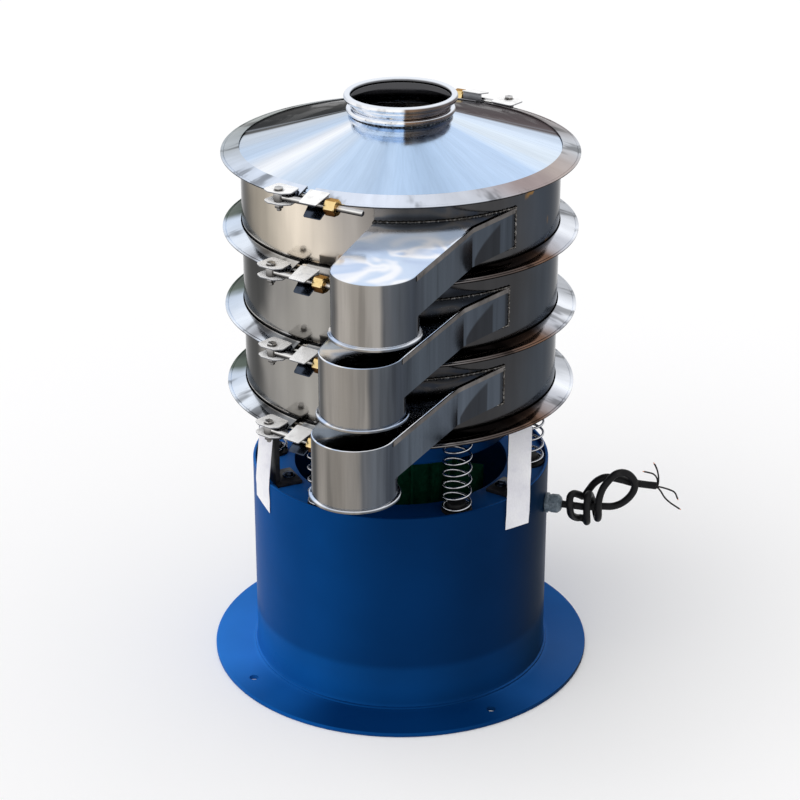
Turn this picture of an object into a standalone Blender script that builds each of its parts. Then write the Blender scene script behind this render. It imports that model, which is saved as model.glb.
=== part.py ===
"""Round vibrating sieve: a painted base, six springs, a vertical vibration motor and three
stainless sieve frames under a conical lid, held together by V-section clamp rings.

The frame is in metres, +Z up, with the origin at the middle of the base plate's underside.
An azimuth is counted from the front, -Y, and grows towards +X.
"""
import math

import bmesh
import bpy
from mathutils import Matrix, Vector

MM = 0.001
GAP = 0.3 * MM
TINY = 0.00001

# Facets round a large turned part, round a small one, and round a bolt
ROUND = 32
SMALL_ROUND = 16
BOLT_ROUND = 8

# Base
BASE_RADIUS = 195 * MM
BASE_WALL = 4 * MM
BASE_RIM = 282.4 * MM
BASE_FILLET = 5 * MM
FLANGE_RADIUS = 252.5 * MM
FLANGE_THICKNESS = 6 * MM
FLANGE_HOLE_CIRCLE = 227 * MM
FLANGE_HOLE_RADIUS = 6 * MM
FLANGE_HOLE_COUNT = 4
FLANGE_HOLE_AZIMUTH = 31
LEDGE_DROP = 7.4 * MM
LEDGE_THICKNESS = 6 * MM
LEDGE_HOLE_RADIUS = 140 * MM

# Springs and their rubber seats
SPRING_COUNT = 6
SPRING_CIRCLE = 170 * MM
SPRING_AZIMUTH = 24.5
SPRING_RADIUS = 19 * MM
SPRING_WIRE = 3.2 * MM
SPRING_TURNS = 7.5
SPRING_POINTS_PER_TURN = 6
SEAT_RADIUS = 19.6 * MM
SEAT_THICKNESS = 3 * MM
SEAT_BOSS_RADIUS = 14 * MM
SEAT_BOSS_HEIGHT = 9 * MM

# Transport brackets, their bolts and the tags that hang on two of them
BRACKET_COUNT = 3
BRACKET_CIRCLE = 166 * MM
BRACKET_AZIMUTH = 54.5
BRACKET_FOOT_WIDTH = 42 * MM
BRACKET_FOOT_DEPTH = 34 * MM
BRACKET_FOOT_THICKNESS = 5 * MM
BRACKET_UPRIGHT_WIDTH = 30 * MM
BRACKET_UPRIGHT_THICKNESS = 6 * MM
BRACKET_TOP_CLEARANCE = 4.5 * MM
TAG_WIDTH = 34 * MM
TAG_TOP = 378 * MM
TAG_BOTTOM = 242 * MM
TAG_THICKNESS = 1 * MM
TAG_SLANT = 20
TAG_RIGHT_AZIMUTH = 47.6
TAG_RIGHT_REACH = (184.2 * MM, 210.4 * MM)
TAG_RIGHT_FACING = -47.6
TAG_LEFT_AZIMUTH = -64.5
TAG_LEFT_REACH = (185.6 * MM, 196.8 * MM)
TAG_LEFT_FACING = 6.5

# Sieve body: heights of the clamp rings' apexes, and the frames between them
RING_HEIGHTS = {"d": 393.1 * MM, "c": 500.1 * MM, "b": 604.4 * MM, "a": 701.7 * MM}
DRUM_RADIUS = 200 * MM
DRUM_WALL = 2 * MM
JOINT_FLANGE_RADIUS = 212 * MM
JOINT_FLANGE_THICKNESS = 1.5 * MM
SEAL_THICKNESS = 2.6 * MM
SCREEN_RADIUS = 190.7 * MM
SCREEN_RISE = 17 * MM
SCREEN_THICKNESS = 1.2 * MM
PAN_RISE = 26 * MM
PAN_CROWN = 24 * MM

# Clamp rings
BAND_RADIUS = 224.4 * MM
BAND_INNER_RADIUS = 209 * MM
BAND_HALF_HEIGHT = 6.3 * MM
BAND_THICKNESS = 1.5 * MM
BAND_NOSE = 1.4 * MM
BAND_SPLIT_FROM = -8 * MM
BAND_SPLIT_TO = 6 * MM

# Clamp closures, each in its own frame: x along the bolt, y towards the axis, z up
CLOSURE_AZIMUTHS = {"a": -30.9, "b": -34.7, "c": -35.1, "d": -37.5}
CLOSURE_RADIUS = 231 * MM
PIVOT_X = -28 * MM
PIVOT_RADIUS = 3 * MM
PIVOT_HOLE_RADIUS = 3.4 * MM
EYE_RADIUS = 6.5 * MM
EYE_HEIGHT = 11 * MM
EAR_THICKNESS = 2 * MM
SWING_BOLT_RADIUS = 4 * MM
SWING_BOLT_END = 84 * MM
YOKE_START = 8 * MM
YOKE_END = 38 * MM
YOKE_THICKNESS = 2 * MM
NUT_ACROSS_FLATS = 18.6 * MM
NUT_THICKNESS = 12 * MM
NUT_BORE_RADIUS = 4.3 * MM
NUT_PLAY = 0.8 * MM
PIVOT_HEAD_RADIUS = 5.8 * MM
PIVOT_HEAD_HEIGHT = 4 * MM

# Outlet spouts, with the pipe's azimuth on each and its top's drop below the ring above
SPOUT_AZIMUTHS = {"upper": -4.7, "middle": -7.1, "lower": -8.7}
SPOUT_TOP_DROPS = {"upper": 26.5 * MM, "middle": 28.5 * MM, "lower": 26.5 * MM}
SPOUT_SHEET = 1.5 * MM
SPOUT_PIPE_RADIUS = 50 * MM
SPOUT_PIPE_REACH = 352 * MM
SPOUT_PIPE_HEIGHT = 78.5 * MM
SPOUT_CHUTE_HEIGHT = 50 * MM
SPOUT_LIP_RADIUS = 2 * MM
SPOUT_ARC_STEPS = 12
SPOUT_LEFT_AZIMUTH = -4.5
SPOUT_RIGHT_AZIMUTH = 48.0
SPOUT_BEND_AZIMUTH = 26.0
SPOUT_BEND_REACH = 231 * MM

# Lid and feed inlet
LID_SHEET = 1.5 * MM
LID_CONE_TOP = 737 * MM
LID_CONE_TOP_RADIUS = 61 * MM
INLET_RIM_HEIGHT = 773.9 * MM
INLET_RIM_RADIUS = 72 * MM
INLET_NECK_RADIUS = 63 * MM
INLET_BEAD_RADIUS = 66.5 * MM
INLET_BORE_RADIUS = 58 * MM
INLET_BEAD_HEIGHT = 748.5 * MM

# Vibrating dish under the bottom frame
DISH_RADIUS = 150 * MM
DISH_WALL = 4 * MM
DISH_BOTTOM = 334 * MM
DISH_FLANGE_RADIUS = 204 * MM
DISH_FLANGE_THICKNESS = 5 * MM
DISH_HOLE_RADIUS = 78 * MM

# Vibration motor
MOTOR_RADIUS = 68 * MM
MOTOR_FIN_RADIUS = 76 * MM
MOTOR_FIN_COUNT = 16
MOTOR_FIN_WIDTH = 3 * MM
MOTOR_BOTTOM = 128 * MM
MOTOR_FLANGE_RADIUS = 100 * MM
MOTOR_FLANGE_THICKNESS = 10 * MM
MOTOR_SHIELD_RADIUS = 74 * MM
MOTOR_SHIELD_RISE = 8 * MM
MOTOR_BOLT_COUNT = 6
MOTOR_BOLT_CIRCLE = 89 * MM
MOTOR_BOLT_AZIMUTH = 5
MOTOR_BOLT_RADIUS = 5 * MM
MOTOR_NUT_RADIUS = 9 * MM
SHAFT_RADIUS = 12.5 * MM
SHAFT_TOP = 372 * MM
SHAFT_BOTTOM = 82 * MM
BEARING_RADIUS = 26 * MM
BEARING_HEIGHT = 15 * MM
WEIGHT_RADIUS = 58 * MM
WEIGHT_HUB_RADIUS = 20 * MM
WEIGHT_THICKNESS = 20 * MM
WEIGHT_SWEEP = 150
UPPER_WEIGHT_BOTTOM = 348 * MM
LOWER_WEIGHT_BOTTOM = 86 * MM
LOWER_WEIGHT_LEAD = 35
GUARD_RADIUS = 72 * MM
GUARD_WALL = 3 * MM
GUARD_BOTTOM = 66 * MM
TERMINAL_BOX_WIDTH = 62 * MM
TERMINAL_BOX_HEIGHT = 70 * MM
TERMINAL_BOX_DEPTH = 30 * MM

# Cable gland and the knotted cable, whose route starts at the gland's mouth
GLAND_AZIMUTH = 76.6
GLAND_HEIGHT = 230 * MM
GLAND_NUT_RADIUS = 13.5 * MM
GLAND_NUT_THICKNESS = 5 * MM
GLAND_BODY_RADIUS = 12.3 * MM
GLAND_BODY_LENGTH = 17 * MM
GLAND_THREAD_RADIUS = 8 * MM
CABLE_RADIUS = 4.8 * MM
CABLE_STEP = 8 * MM
CORE_STEP = 6 * MM
CORE_RADIUS = 1.1 * MM
CABLE_ROUTE_MM = [
    (231, -54, 229), (245, -53, 227), (263, -53, 228), (278, -53, 228),
    (290, -55, 234), (300, -57, 245), (305, -58, 257), (304, -59, 268), (297, -59, 277), (288, -59, 280),
    (279, -60, 278), (271, -61, 270), (264, -62, 260), (260, -63, 249), (258, -64, 236), (259, -61, 220),
    (259, -53, 210), (258, -44, 211), (255, -42, 223), (251, -44, 235), (247, -53, 246), (244, -62, 245),
    (243, -64, 230), (244, -61, 215), (245, -53, 205), (243, -45, 205), (238, -43, 206), (232, -45, 207),
    (224, -55, 217), (221, -63, 233), (221, -62, 246), (226, -56, 248), (234, -47, 242), (241, -40, 236),
    (247, -40, 245), (253, -43, 256), (261, -47, 265), (269, -50, 269), (279, -51, 268), (291, -51, 265),
    (301, -49, 261), (312, -49, 259), (322, -50, 258), (334, -53, 258),
]
CORE_ROUTES_MM = [
    [(336, -54, 260), (336, -56, 270), (334, -58, 281), (331, -58, 289), (328, -58, 294)],
    [(336, -51, 259), (335, -48, 266), (331, -46, 271), (325, -45, 273), (316, -45, 275)],
    [(336, -51, 256), (342, -50, 254), (351, -50, 251), (359, -49, 246), (364, -49, 235)],
    [(336, -55, 256), (340, -56, 251), (345, -57, 243), (353, -57, 235), (367, -57, 225)],
]

COLOURS = {
    "painted_blue": ((0.03, 0.14, 0.42), 0.35, 0.0),
    "polished_steel": ((0.72, 0.72, 0.73), 0.12, 1.0),
    "spring_steel": ((0.45, 0.45, 0.46), 0.3, 1.0),
    "zinc_steel": ((0.55, 0.55, 0.54), 0.35, 1.0),
    "cast_steel": ((0.22, 0.22, 0.23), 0.55, 1.0),
    "brass": ((0.72, 0.50, 0.20), 0.3, 1.0),
    "black_paint": ((0.02, 0.02, 0.02), 0.5, 0.0),
    "black_rubber": ((0.015, 0.015, 0.015), 0.7, 0.0),
    "green_paint": ((0.03, 0.22, 0.10), 0.4, 0.0),
    "white_rubber": ((0.75, 0.75, 0.72), 0.6, 0.0),
    "tag_paper": ((0.85, 0.85, 0.88), 0.8, 0.0),
    "gland_grey": ((0.38, 0.42, 0.44), 0.45, 0.0),
    "core_black": ((0.02, 0.015, 0.015), 0.6, 0.0),
}

for old in list(bpy.data.objects):
    bpy.data.objects.remove(old, do_unlink=True)

PARTS = bpy.data.collections.new("vibrating_sieve")
CUTTERS = bpy.data.collections.new("cutters")
bpy.context.scene.collection.children.link(PARTS)
bpy.context.scene.collection.children.link(CUTTERS)


def material(name):
    """Return the named material, made from COLOURS on its first use."""
    if name in bpy.data.materials:
        return bpy.data.materials[name]
    colour, roughness, metallic = COLOURS[name]
    made = bpy.data.materials.new(name)
    made.use_nodes = True
    shader = made.node_tree.nodes["Principled BSDF"]
    shader.inputs["Base Color"].default_value = (*colour, 1.0)
    shader.inputs["Roughness"].default_value = roughness
    shader.inputs["Metallic"].default_value = metallic
    made.diffuse_color = (*colour, 1.0)
    return made


def place(name, mesh, finish=None, collection=None):
    """Make an object of a mesh, in the parts unless another collection is given."""
    made = bpy.data.objects.new(name, mesh)
    (collection or PARTS).objects.link(made)
    if finish:
        made.data.materials.append(material(finish))
    return made


def as_cutter(tool):
    """Move an object to the cutters, where nothing renders it."""
    for collection in list(tool.users_collection):
        collection.objects.unlink(tool)
    CUTTERS.objects.link(tool)
    tool.hide_render = True
    tool.display_type = "WIRE"
    return tool


def boolean(target, tool, operation="DIFFERENCE"):
    """Cut the tool out of the target, or join it on with UNION or INTERSECT."""
    as_cutter(tool)
    step = target.modifiers.new(f"{operation.lower()}_{tool.name}", "BOOLEAN")
    step.operation = operation
    step.object = tool
    return target


def polar(reach, azimuth, height=0.0):
    """The point at a reach from the axis, on an azimuth in degrees."""
    angle = math.radians(azimuth)
    return Vector((reach * math.sin(angle), -reach * math.cos(angle), height))


def turned(name, profile, finish=None, steps=ROUND):
    """Turn a closed (radius, height) outline round Z; it runs down its outer side."""
    mesh = bpy.data.meshes.new(name)
    points = [(radius, 0.0, height) for radius, height in profile]
    on_axis = [radius < TINY for radius, _ in profile]
    edges = [
        (i, (i + 1) % len(points))
        for i in range(len(points))
        if not (on_axis[i] and on_axis[(i + 1) % len(points)])
    ]
    mesh.from_pydata(points, edges, [])
    made = place(name, mesh, finish)
    screw = made.modifiers.new("turn", "SCREW")
    screw.steps = steps
    screw.render_steps = steps
    screw.use_merge_vertices = True
    screw.merge_threshold = TINY
    screw.use_normal_calculate = False
    return made


def plate(name, outline, bottom, top, finish=None):
    """Stand a prism on a flat outline of (x, y) points."""
    curve = bpy.data.curves.new(name, "CURVE")
    curve.dimensions = "2D"
    curve.fill_mode = "BOTH"
    curve.extrude = (top - bottom) / 2
    line = curve.splines.new("POLY")
    line.points.add(len(outline) - 1)
    for spot, (x, y) in zip(line.points, outline):
        spot.co = (x, y, 0, 1)
    line.use_cyclic_u = True
    guide = bpy.data.objects.new(name + "_outline", curve)
    PARTS.objects.link(guide)
    guide.location.z = (top + bottom) / 2
    return solid_from(guide, name, finish)


def box(name, low, high, finish=None):
    """A box between two corners."""
    mesh = bpy.data.meshes.new(name)
    shape = bmesh.new()
    bmesh.ops.create_cube(shape, size=1.0)
    middle = (Vector(low) + Vector(high)) / 2
    size = Vector(high) - Vector(low)
    bmesh.ops.transform(
        shape, matrix=Matrix.Translation(middle) @ Matrix.Diagonal((*size, 1.0)), verts=shape.verts
    )
    shape.to_mesh(mesh)
    shape.free()
    return place(name, mesh, finish)


def rod(name, radius, start, end, finish=None, sides=SMALL_ROUND, end_radius=None):
    """A cylinder, or a cone when an end radius is given, between two points."""
    start = Vector(start)
    end = Vector(end)
    mesh = bpy.data.meshes.new(name)
    shape = bmesh.new()
    bmesh.ops.create_cone(
        shape,
        cap_ends=True,
        segments=sides,
        radius1=radius,
        radius2=radius if end_radius is None else end_radius,
        depth=(end - start).length,
    )
    turn = (end - start).to_track_quat("Z", "Y").to_matrix().to_4x4()
    bmesh.ops.transform(shape, matrix=Matrix.Translation((start + end) / 2) @ turn, verts=shape.verts)
    shape.to_mesh(mesh)
    shape.free()
    return place(name, mesh, finish)


def mount_on(frame, *pieces):
    """Hang pieces on an empty, keeping their own places as places in its frame."""
    for piece in pieces:
        piece.parent = frame


def turn_to(made, azimuth):
    """Turn an object made at the front to an azimuth."""
    made.matrix_basis = Matrix.Rotation(math.radians(azimuth), 4, "Z") @ made.matrix_basis
    return made


def smooth_route(points, step):
    """Points at even steps along a smooth curve through the route's own points."""
    route = [Vector(p) * MM for p in points]
    ends = [2 * route[0] - route[1]] + route + [2 * route[-1] - route[-2]]
    fine = []
    for a, b, c, d in zip(ends, ends[1:], ends[2:], ends[3:]):
        for k in range(20):
            t = k / 20
            fine.append(
                0.5 * (2 * b + (c - a) * t + (2 * a - 5 * b + 4 * c - d) * t**2 + (3 * b - a - 3 * c + d) * t**3)
            )
    fine.append(route[-1])
    lengths = [0.0]
    for p, q in zip(fine, fine[1:]):
        lengths.append(lengths[-1] + (q - p).length)
    count = max(2, round(lengths[-1] / step))
    even = []
    k = 0
    for i in range(count + 1):
        target = lengths[-1] * i / count
        while k < len(fine) - 2 and lengths[k + 1] < target:
            k += 1
        share = (target - lengths[k]) / max(lengths[k + 1] - lengths[k], TINY)
        even.append(fine[k].lerp(fine[k + 1], min(share, 1.0)))
    return even


def solid_from(guide, name, finish):
    """Turn a curve object into a closed mesh object in its place."""
    bpy.context.view_layer.update()
    depsgraph = bpy.context.evaluated_depsgraph_get()
    mesh = bpy.data.meshes.new_from_object(guide.evaluated_get(depsgraph))
    mesh.transform(guide.matrix_world)
    bpy.data.objects.remove(guide, do_unlink=True)
    shape = bmesh.new()
    shape.from_mesh(mesh)
    bmesh.ops.remove_doubles(shape, verts=shape.verts, dist=TINY)
    bmesh.ops.recalc_face_normals(shape, faces=shape.faces)
    shape.to_mesh(mesh)
    shape.free()
    mesh.materials.clear()
    mesh.name = name
    return place(name, mesh, finish)


def tube(name, points, radius, finish, resolution=2):
    """A round tube along points, with closed ends."""
    curve = bpy.data.curves.new(name, "CURVE")
    curve.dimensions = "3D"
    curve.bevel_depth = radius
    curve.bevel_resolution = resolution
    curve.use_fill_caps = True
    line = curve.splines.new("POLY")
    line.points.add(len(points) - 1)
    for spot, point in zip(line.points, points):
        spot.co = (*point, 1.0)
    guide = bpy.data.objects.new(name + "_curve", curve)
    PARTS.objects.link(guide)
    return solid_from(guide, name, finish)


# Heights that several pieces share
LEDGE_TOP = BASE_RIM - LEDGE_DROP
HALF_SEAL = SEAL_THICKNESS / 2
FLANGE_NEAR = HALF_SEAL + GAP
FLANGE_FAR = FLANGE_NEAR + JOINT_FLANGE_THICKNESS
DISH_FLANGE_TOP = RING_HEIGHTS["d"] - FLANGE_NEAR
DISH_FLANGE_BOTTOM = DISH_FLANGE_TOP - DISH_FLANGE_THICKNESS
SPRING_BOTTOM = LEDGE_TOP + SEAT_THICKNESS + GAP
SPRING_TOP = DISH_FLANGE_BOTTOM - SEAT_THICKNESS - GAP


def base_shell():
    """The rolled wall welded on its floor plate, with the gland's hole and the anchor holes."""
    foot = FLANGE_THICKNESS
    inner = BASE_RADIUS - BASE_WALL
    made = turned(
        "base_shell",
        [
            (BASE_RADIUS, BASE_RIM),
            (BASE_RADIUS, foot + BASE_FILLET),
            (BASE_RADIUS + BASE_FILLET, foot),
            (FLANGE_RADIUS, foot),
            (FLANGE_RADIUS, 0),
            (0, 0),
            (0, foot),
            (inner, foot),
            (inner, BASE_RIM),
        ],
        "painted_blue",
    )
    hole = rod(
        "gland_drill",
        GLAND_THREAD_RADIUS + GAP,
        polar(inner - BASE_WALL, GLAND_AZIMUTH, GLAND_HEIGHT),
        polar(BASE_RADIUS + BASE_WALL, GLAND_AZIMUTH, GLAND_HEIGHT),
        sides=12,
    )
    boolean(made, hole)
    for i in range(FLANGE_HOLE_COUNT):
        at = polar(FLANGE_HOLE_CIRCLE, FLANGE_HOLE_AZIMUTH + i * 360 / FLANGE_HOLE_COUNT)
        reach = Vector((0, 0, FLANGE_THICKNESS))
        drill = rod(f"flange_drill_{i}", FLANGE_HOLE_RADIUS, at - reach, at + 2 * reach, sides=12)
        boolean(made, drill)


def spring_plate():
    """The ring welded into the cylinder just under its rim."""
    outer = BASE_RADIUS - BASE_WALL - GAP
    low = LEDGE_TOP - LEDGE_THICKNESS
    made = turned(
        "spring_plate",
        [(outer, LEDGE_TOP), (outer, low), (LEDGE_HOLE_RADIUS, low), (LEDGE_HOLE_RADIUS, LEDGE_TOP)],
        "painted_blue",
    )
    add_spring_seats(made, LEDGE_TOP, 1)


def spring_azimuths():
    return [SPRING_AZIMUTH + i * 360 / SPRING_COUNT for i in range(SPRING_COUNT)]


def add_spring_seats(carrier, face, direction):
    """Weld a flat seat and a centring boss for each spring on the carrier."""
    for i, azimuth in enumerate(spring_azimuths()):
        profile = [
            (0, SEAT_THICKNESS + SEAT_BOSS_HEIGHT),
            (SEAT_BOSS_RADIUS - 2 * MM, SEAT_THICKNESS + SEAT_BOSS_HEIGHT),
            (SEAT_BOSS_RADIUS, SEAT_THICKNESS),
            (SEAT_RADIUS, SEAT_THICKNESS),
            (SEAT_RADIUS, -SEAT_THICKNESS / 2),
            (0, -SEAT_THICKNESS / 2),
        ]
        seat = turned(f"{carrier.name}_seat_{i}", profile, steps=12)
        seat.location = polar(SPRING_CIRCLE, azimuth, face)
        if direction < 0:
            seat.rotation_euler.x = math.pi
        boolean(carrier, seat, "UNION")


def coil_points():
    """A compression spring with closed ends, round its own upright axis."""
    wire = SPRING_WIRE
    low = SPRING_BOTTOM + wire / 2
    high = SPRING_TOP - wire / 2
    reach = SPRING_RADIUS - wire / 2
    closed = 0.75
    count = round(SPRING_TURNS * SPRING_POINTS_PER_TURN)
    points = []
    for i in range(count + 1):
        turn = SPRING_TURNS * i / count
        if turn < closed:
            height = low + wire * turn
        elif turn > SPRING_TURNS - closed:
            height = high - wire * (SPRING_TURNS - turn)
        else:
            share = (turn - closed) / (SPRING_TURNS - 2 * closed)
            height = low + wire * closed + share * (high - low - 2 * wire * closed)
        angle = 2 * math.pi * turn
        points.append(Vector((reach * math.cos(angle), reach * math.sin(angle), height)))
    return points


def isolation_springs():
    for i, azimuth in enumerate(spring_azimuths()):
        spring = tube(
            f"isolation_spring_{i + 1}", coil_points(), SPRING_WIRE / 2, "spring_steel", resolution=1
        )
        spring.location = polar(SPRING_CIRCLE, azimuth)


def bracket_azimuths():
    return [BRACKET_AZIMUTH + i * 360 / BRACKET_COUNT for i in range(BRACKET_COUNT)]


BRACKET_TOP = DISH_FLANGE_BOTTOM - BRACKET_TOP_CLEARANCE
BRACKET_FOOT_TOP = LEDGE_TOP + GAP + BRACKET_FOOT_THICKNESS
BRACKET_OUTER = BRACKET_CIRCLE + BRACKET_FOOT_DEPTH / 2
BRACKET_BOLT_CIRCLE = BRACKET_CIRCLE - BRACKET_FOOT_DEPTH / 5


def transport_brackets():
    """Angle brackets bolted on the ring, kept clear of the dish that they lock for transport."""
    for i, azimuth in enumerate(bracket_azimuths()):
        name = f"transport_bracket_{i + 1}"
        half = BRACKET_FOOT_WIDTH / 2
        inner = BRACKET_CIRCLE - BRACKET_FOOT_DEPTH / 2
        low = LEDGE_TOP + GAP
        made = box(name, (-half, -BRACKET_OUTER, low), (half, -inner, BRACKET_FOOT_TOP), "black_paint")
        half = BRACKET_UPRIGHT_WIDTH / 2
        upright = box(
            name + "_upright",
            (-half, -BRACKET_OUTER, low),
            (half, -BRACKET_OUTER + BRACKET_UPRIGHT_THICKNESS, BRACKET_TOP),
        )
        at = Vector((0, -BRACKET_BOLT_CIRCLE, BRACKET_FOOT_TOP))
        head = rod(
            name + "_bolt_head",
            PIVOT_HEAD_RADIUS,
            at - Vector((0, 0, 1 * MM)),
            at + Vector((0, 0, PIVOT_HEAD_HEIGHT)),
            sides=6,
        )
        for tool in (upright, head):
            boolean(made, tool, "UNION")
            turn_to(tool, azimuth)
        turn_to(made, azimuth)


def tag(name, azimuth, top_reach, rim_reach, facing, slant):
    """A paper tag that hangs from a bracket's top, over the base's rim and down its wall."""
    side = [
        (top_reach, TAG_TOP),
        (rim_reach, BASE_RIM + 2 * MM),
        (rim_reach, TAG_BOTTOM),
        (rim_reach + TAG_THICKNESS, TAG_BOTTOM),
        (rim_reach + TAG_THICKNESS, BASE_RIM + 3 * MM),
        (top_reach + TAG_THICKNESS, TAG_TOP),
    ]
    made = plate(name, side, -TAG_WIDTH / 2, TAG_WIDTH / 2, "tag_paper")
    stand_up = Matrix(((0, 0, 1), (-1, 0, 0), (0, 1, 0))).to_4x4()
    corner = box(name + "_corner", (-TAG_WIDTH, -20 * MM, -30 * MM), (TAG_WIDTH, 20 * MM, 0))
    low_side = Vector((TAG_WIDTH / 2 * math.copysign(1, slant), -rim_reach, TAG_BOTTOM))
    cut = Matrix.Translation(low_side) @ Matrix.Rotation(math.radians(slant), 4, "Y")
    turn = Matrix.Rotation(math.radians(facing), 4, "Z")
    middle = Vector((0, -(top_reach + rim_reach) / 2, 0))
    about = Matrix.Translation(middle) @ turn @ Matrix.Translation(-middle)
    made.matrix_world = about @ stand_up
    corner.matrix_world = about @ cut
    turn_to(made, azimuth)
    turn_to(corner, azimuth)
    boolean(made, corner)


GLAND_FACE = BASE_RADIUS + 2 * GAP
GLAND_MOUTH = GLAND_FACE + GLAND_NUT_THICKNESS + GLAND_BODY_LENGTH


def gland():
    """The grey cable gland in the base's wall: thread, hexagon nut and round cap."""

    def along(name, radius, start, end, sides):
        from_point = polar(start, GLAND_AZIMUTH, GLAND_HEIGHT)
        return rod(name, radius, from_point, polar(end, GLAND_AZIMUTH, GLAND_HEIGHT), sides=sides)

    made = along("cable_gland", GLAND_NUT_RADIUS, GLAND_FACE, GLAND_FACE + GLAND_NUT_THICKNESS, 6)
    made.data.materials.append(material("gland_grey"))
    body = along("gland_cap", GLAND_BODY_RADIUS, GLAND_FACE + GLAND_NUT_THICKNESS / 2, GLAND_MOUTH, 12)
    inside = BASE_RADIUS - BASE_WALL - 6 * MM
    thread = along("gland_thread", GLAND_THREAD_RADIUS, inside, GLAND_FACE + 1 * MM, 12)
    bore = along("gland_bore", CABLE_RADIUS + GAP, inside - 2 * MM, GLAND_MOUTH + 2 * MM, 12)
    boolean(made, body, "UNION")
    boolean(made, thread, "UNION")
    boolean(made, bore)


def power_cord():
    """The cable, and its four cores where the sheath ends."""
    reaches = (GLAND_MOUTH + GAP, GLAND_MOUTH + 8 * MM)
    starts = [tuple(polar(reach, GLAND_AZIMUTH, GLAND_HEIGHT) / MM) for reach in reaches]
    route = smooth_route(starts + CABLE_ROUTE_MM, CABLE_STEP)
    tube("power_cord", route, CABLE_RADIUS, "black_rubber")
    end = route[-1]
    along = (route[-1] - route[-2]).normalized()
    made = rod(
        "cord_cores",
        CABLE_RADIUS - 1 * MM,
        end + along * 2 * GAP,
        end + along * 2.8 * MM,
        "core_black",
        sides=12,
    )
    for i, points in enumerate(CORE_ROUTES_MM):
        core = tube(f"core_{i}", smooth_route(points, CORE_STEP), CORE_RADIUS, None, resolution=1)
        boolean(made, core, "UNION")


def vibrating_dish():
    """The blue bowl that carries the frames, stands on the springs and holds the motor."""
    inner = DISH_RADIUS - DISH_WALL
    thin = DISH_FLANGE_TOP - JOINT_FLANGE_THICKNESS
    made = turned(
        "vibrating_dish",
        [
            (JOINT_FLANGE_RADIUS, DISH_FLANGE_TOP),
            (JOINT_FLANGE_RADIUS, thin),
            (DISH_FLANGE_RADIUS, thin),
            (DISH_FLANGE_RADIUS, DISH_FLANGE_BOTTOM),
            (DISH_RADIUS, DISH_FLANGE_BOTTOM),
            (DISH_RADIUS, DISH_BOTTOM),
            (DISH_HOLE_RADIUS, DISH_BOTTOM),
            (DISH_HOLE_RADIUS, DISH_BOTTOM + DISH_WALL),
            (inner, DISH_BOTTOM + DISH_WALL),
            (inner, DISH_FLANGE_TOP),
        ],
        "painted_blue",
    )
    add_spring_seats(made, DISH_FLANGE_BOTTOM, -1)
    up = Vector((0, 0, 1))
    low = DISH_BOTTOM - 2 * GAP - MOTOR_FLANGE_THICKNESS
    floor = DISH_BOTTOM + DISH_WALL / 2
    for i in range(MOTOR_BOLT_COUNT):
        at = polar(MOTOR_BOLT_CIRCLE, MOTOR_BOLT_AZIMUTH + i * 360 / MOTOR_BOLT_COUNT)
        start = at + up * (low - 12 * MM)
        stud = rod(f"motor_stud_{i}", MOTOR_BOLT_RADIUS, start, at + up * (floor + 3 * MM), sides=BOLT_ROUND)
        head = rod(f"motor_stud_head_{i}", MOTOR_NUT_RADIUS, at + up * floor, at + up * (floor + 8 * MM), sides=6)
        nut = rod(f"motor_stud_nut_{i}", MOTOR_NUT_RADIUS, at + up * (low - 8 * MM), at + up * low, sides=6)
        for tool in (stud, head, nut):
            boolean(made, tool, "UNION")


MOTOR_FLANGE_TOP = DISH_BOTTOM - GAP
MOTOR_FLANGE_BOTTOM = MOTOR_FLANGE_TOP - MOTOR_FLANGE_THICKNESS
SHIELD_TOP = DISH_BOTTOM + DISH_WALL + MOTOR_SHIELD_RISE
SHIELD_BOTTOM = MOTOR_FLANGE_BOTTOM
BEARING_SEAT = SHAFT_RADIUS + 5 * MM


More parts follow.
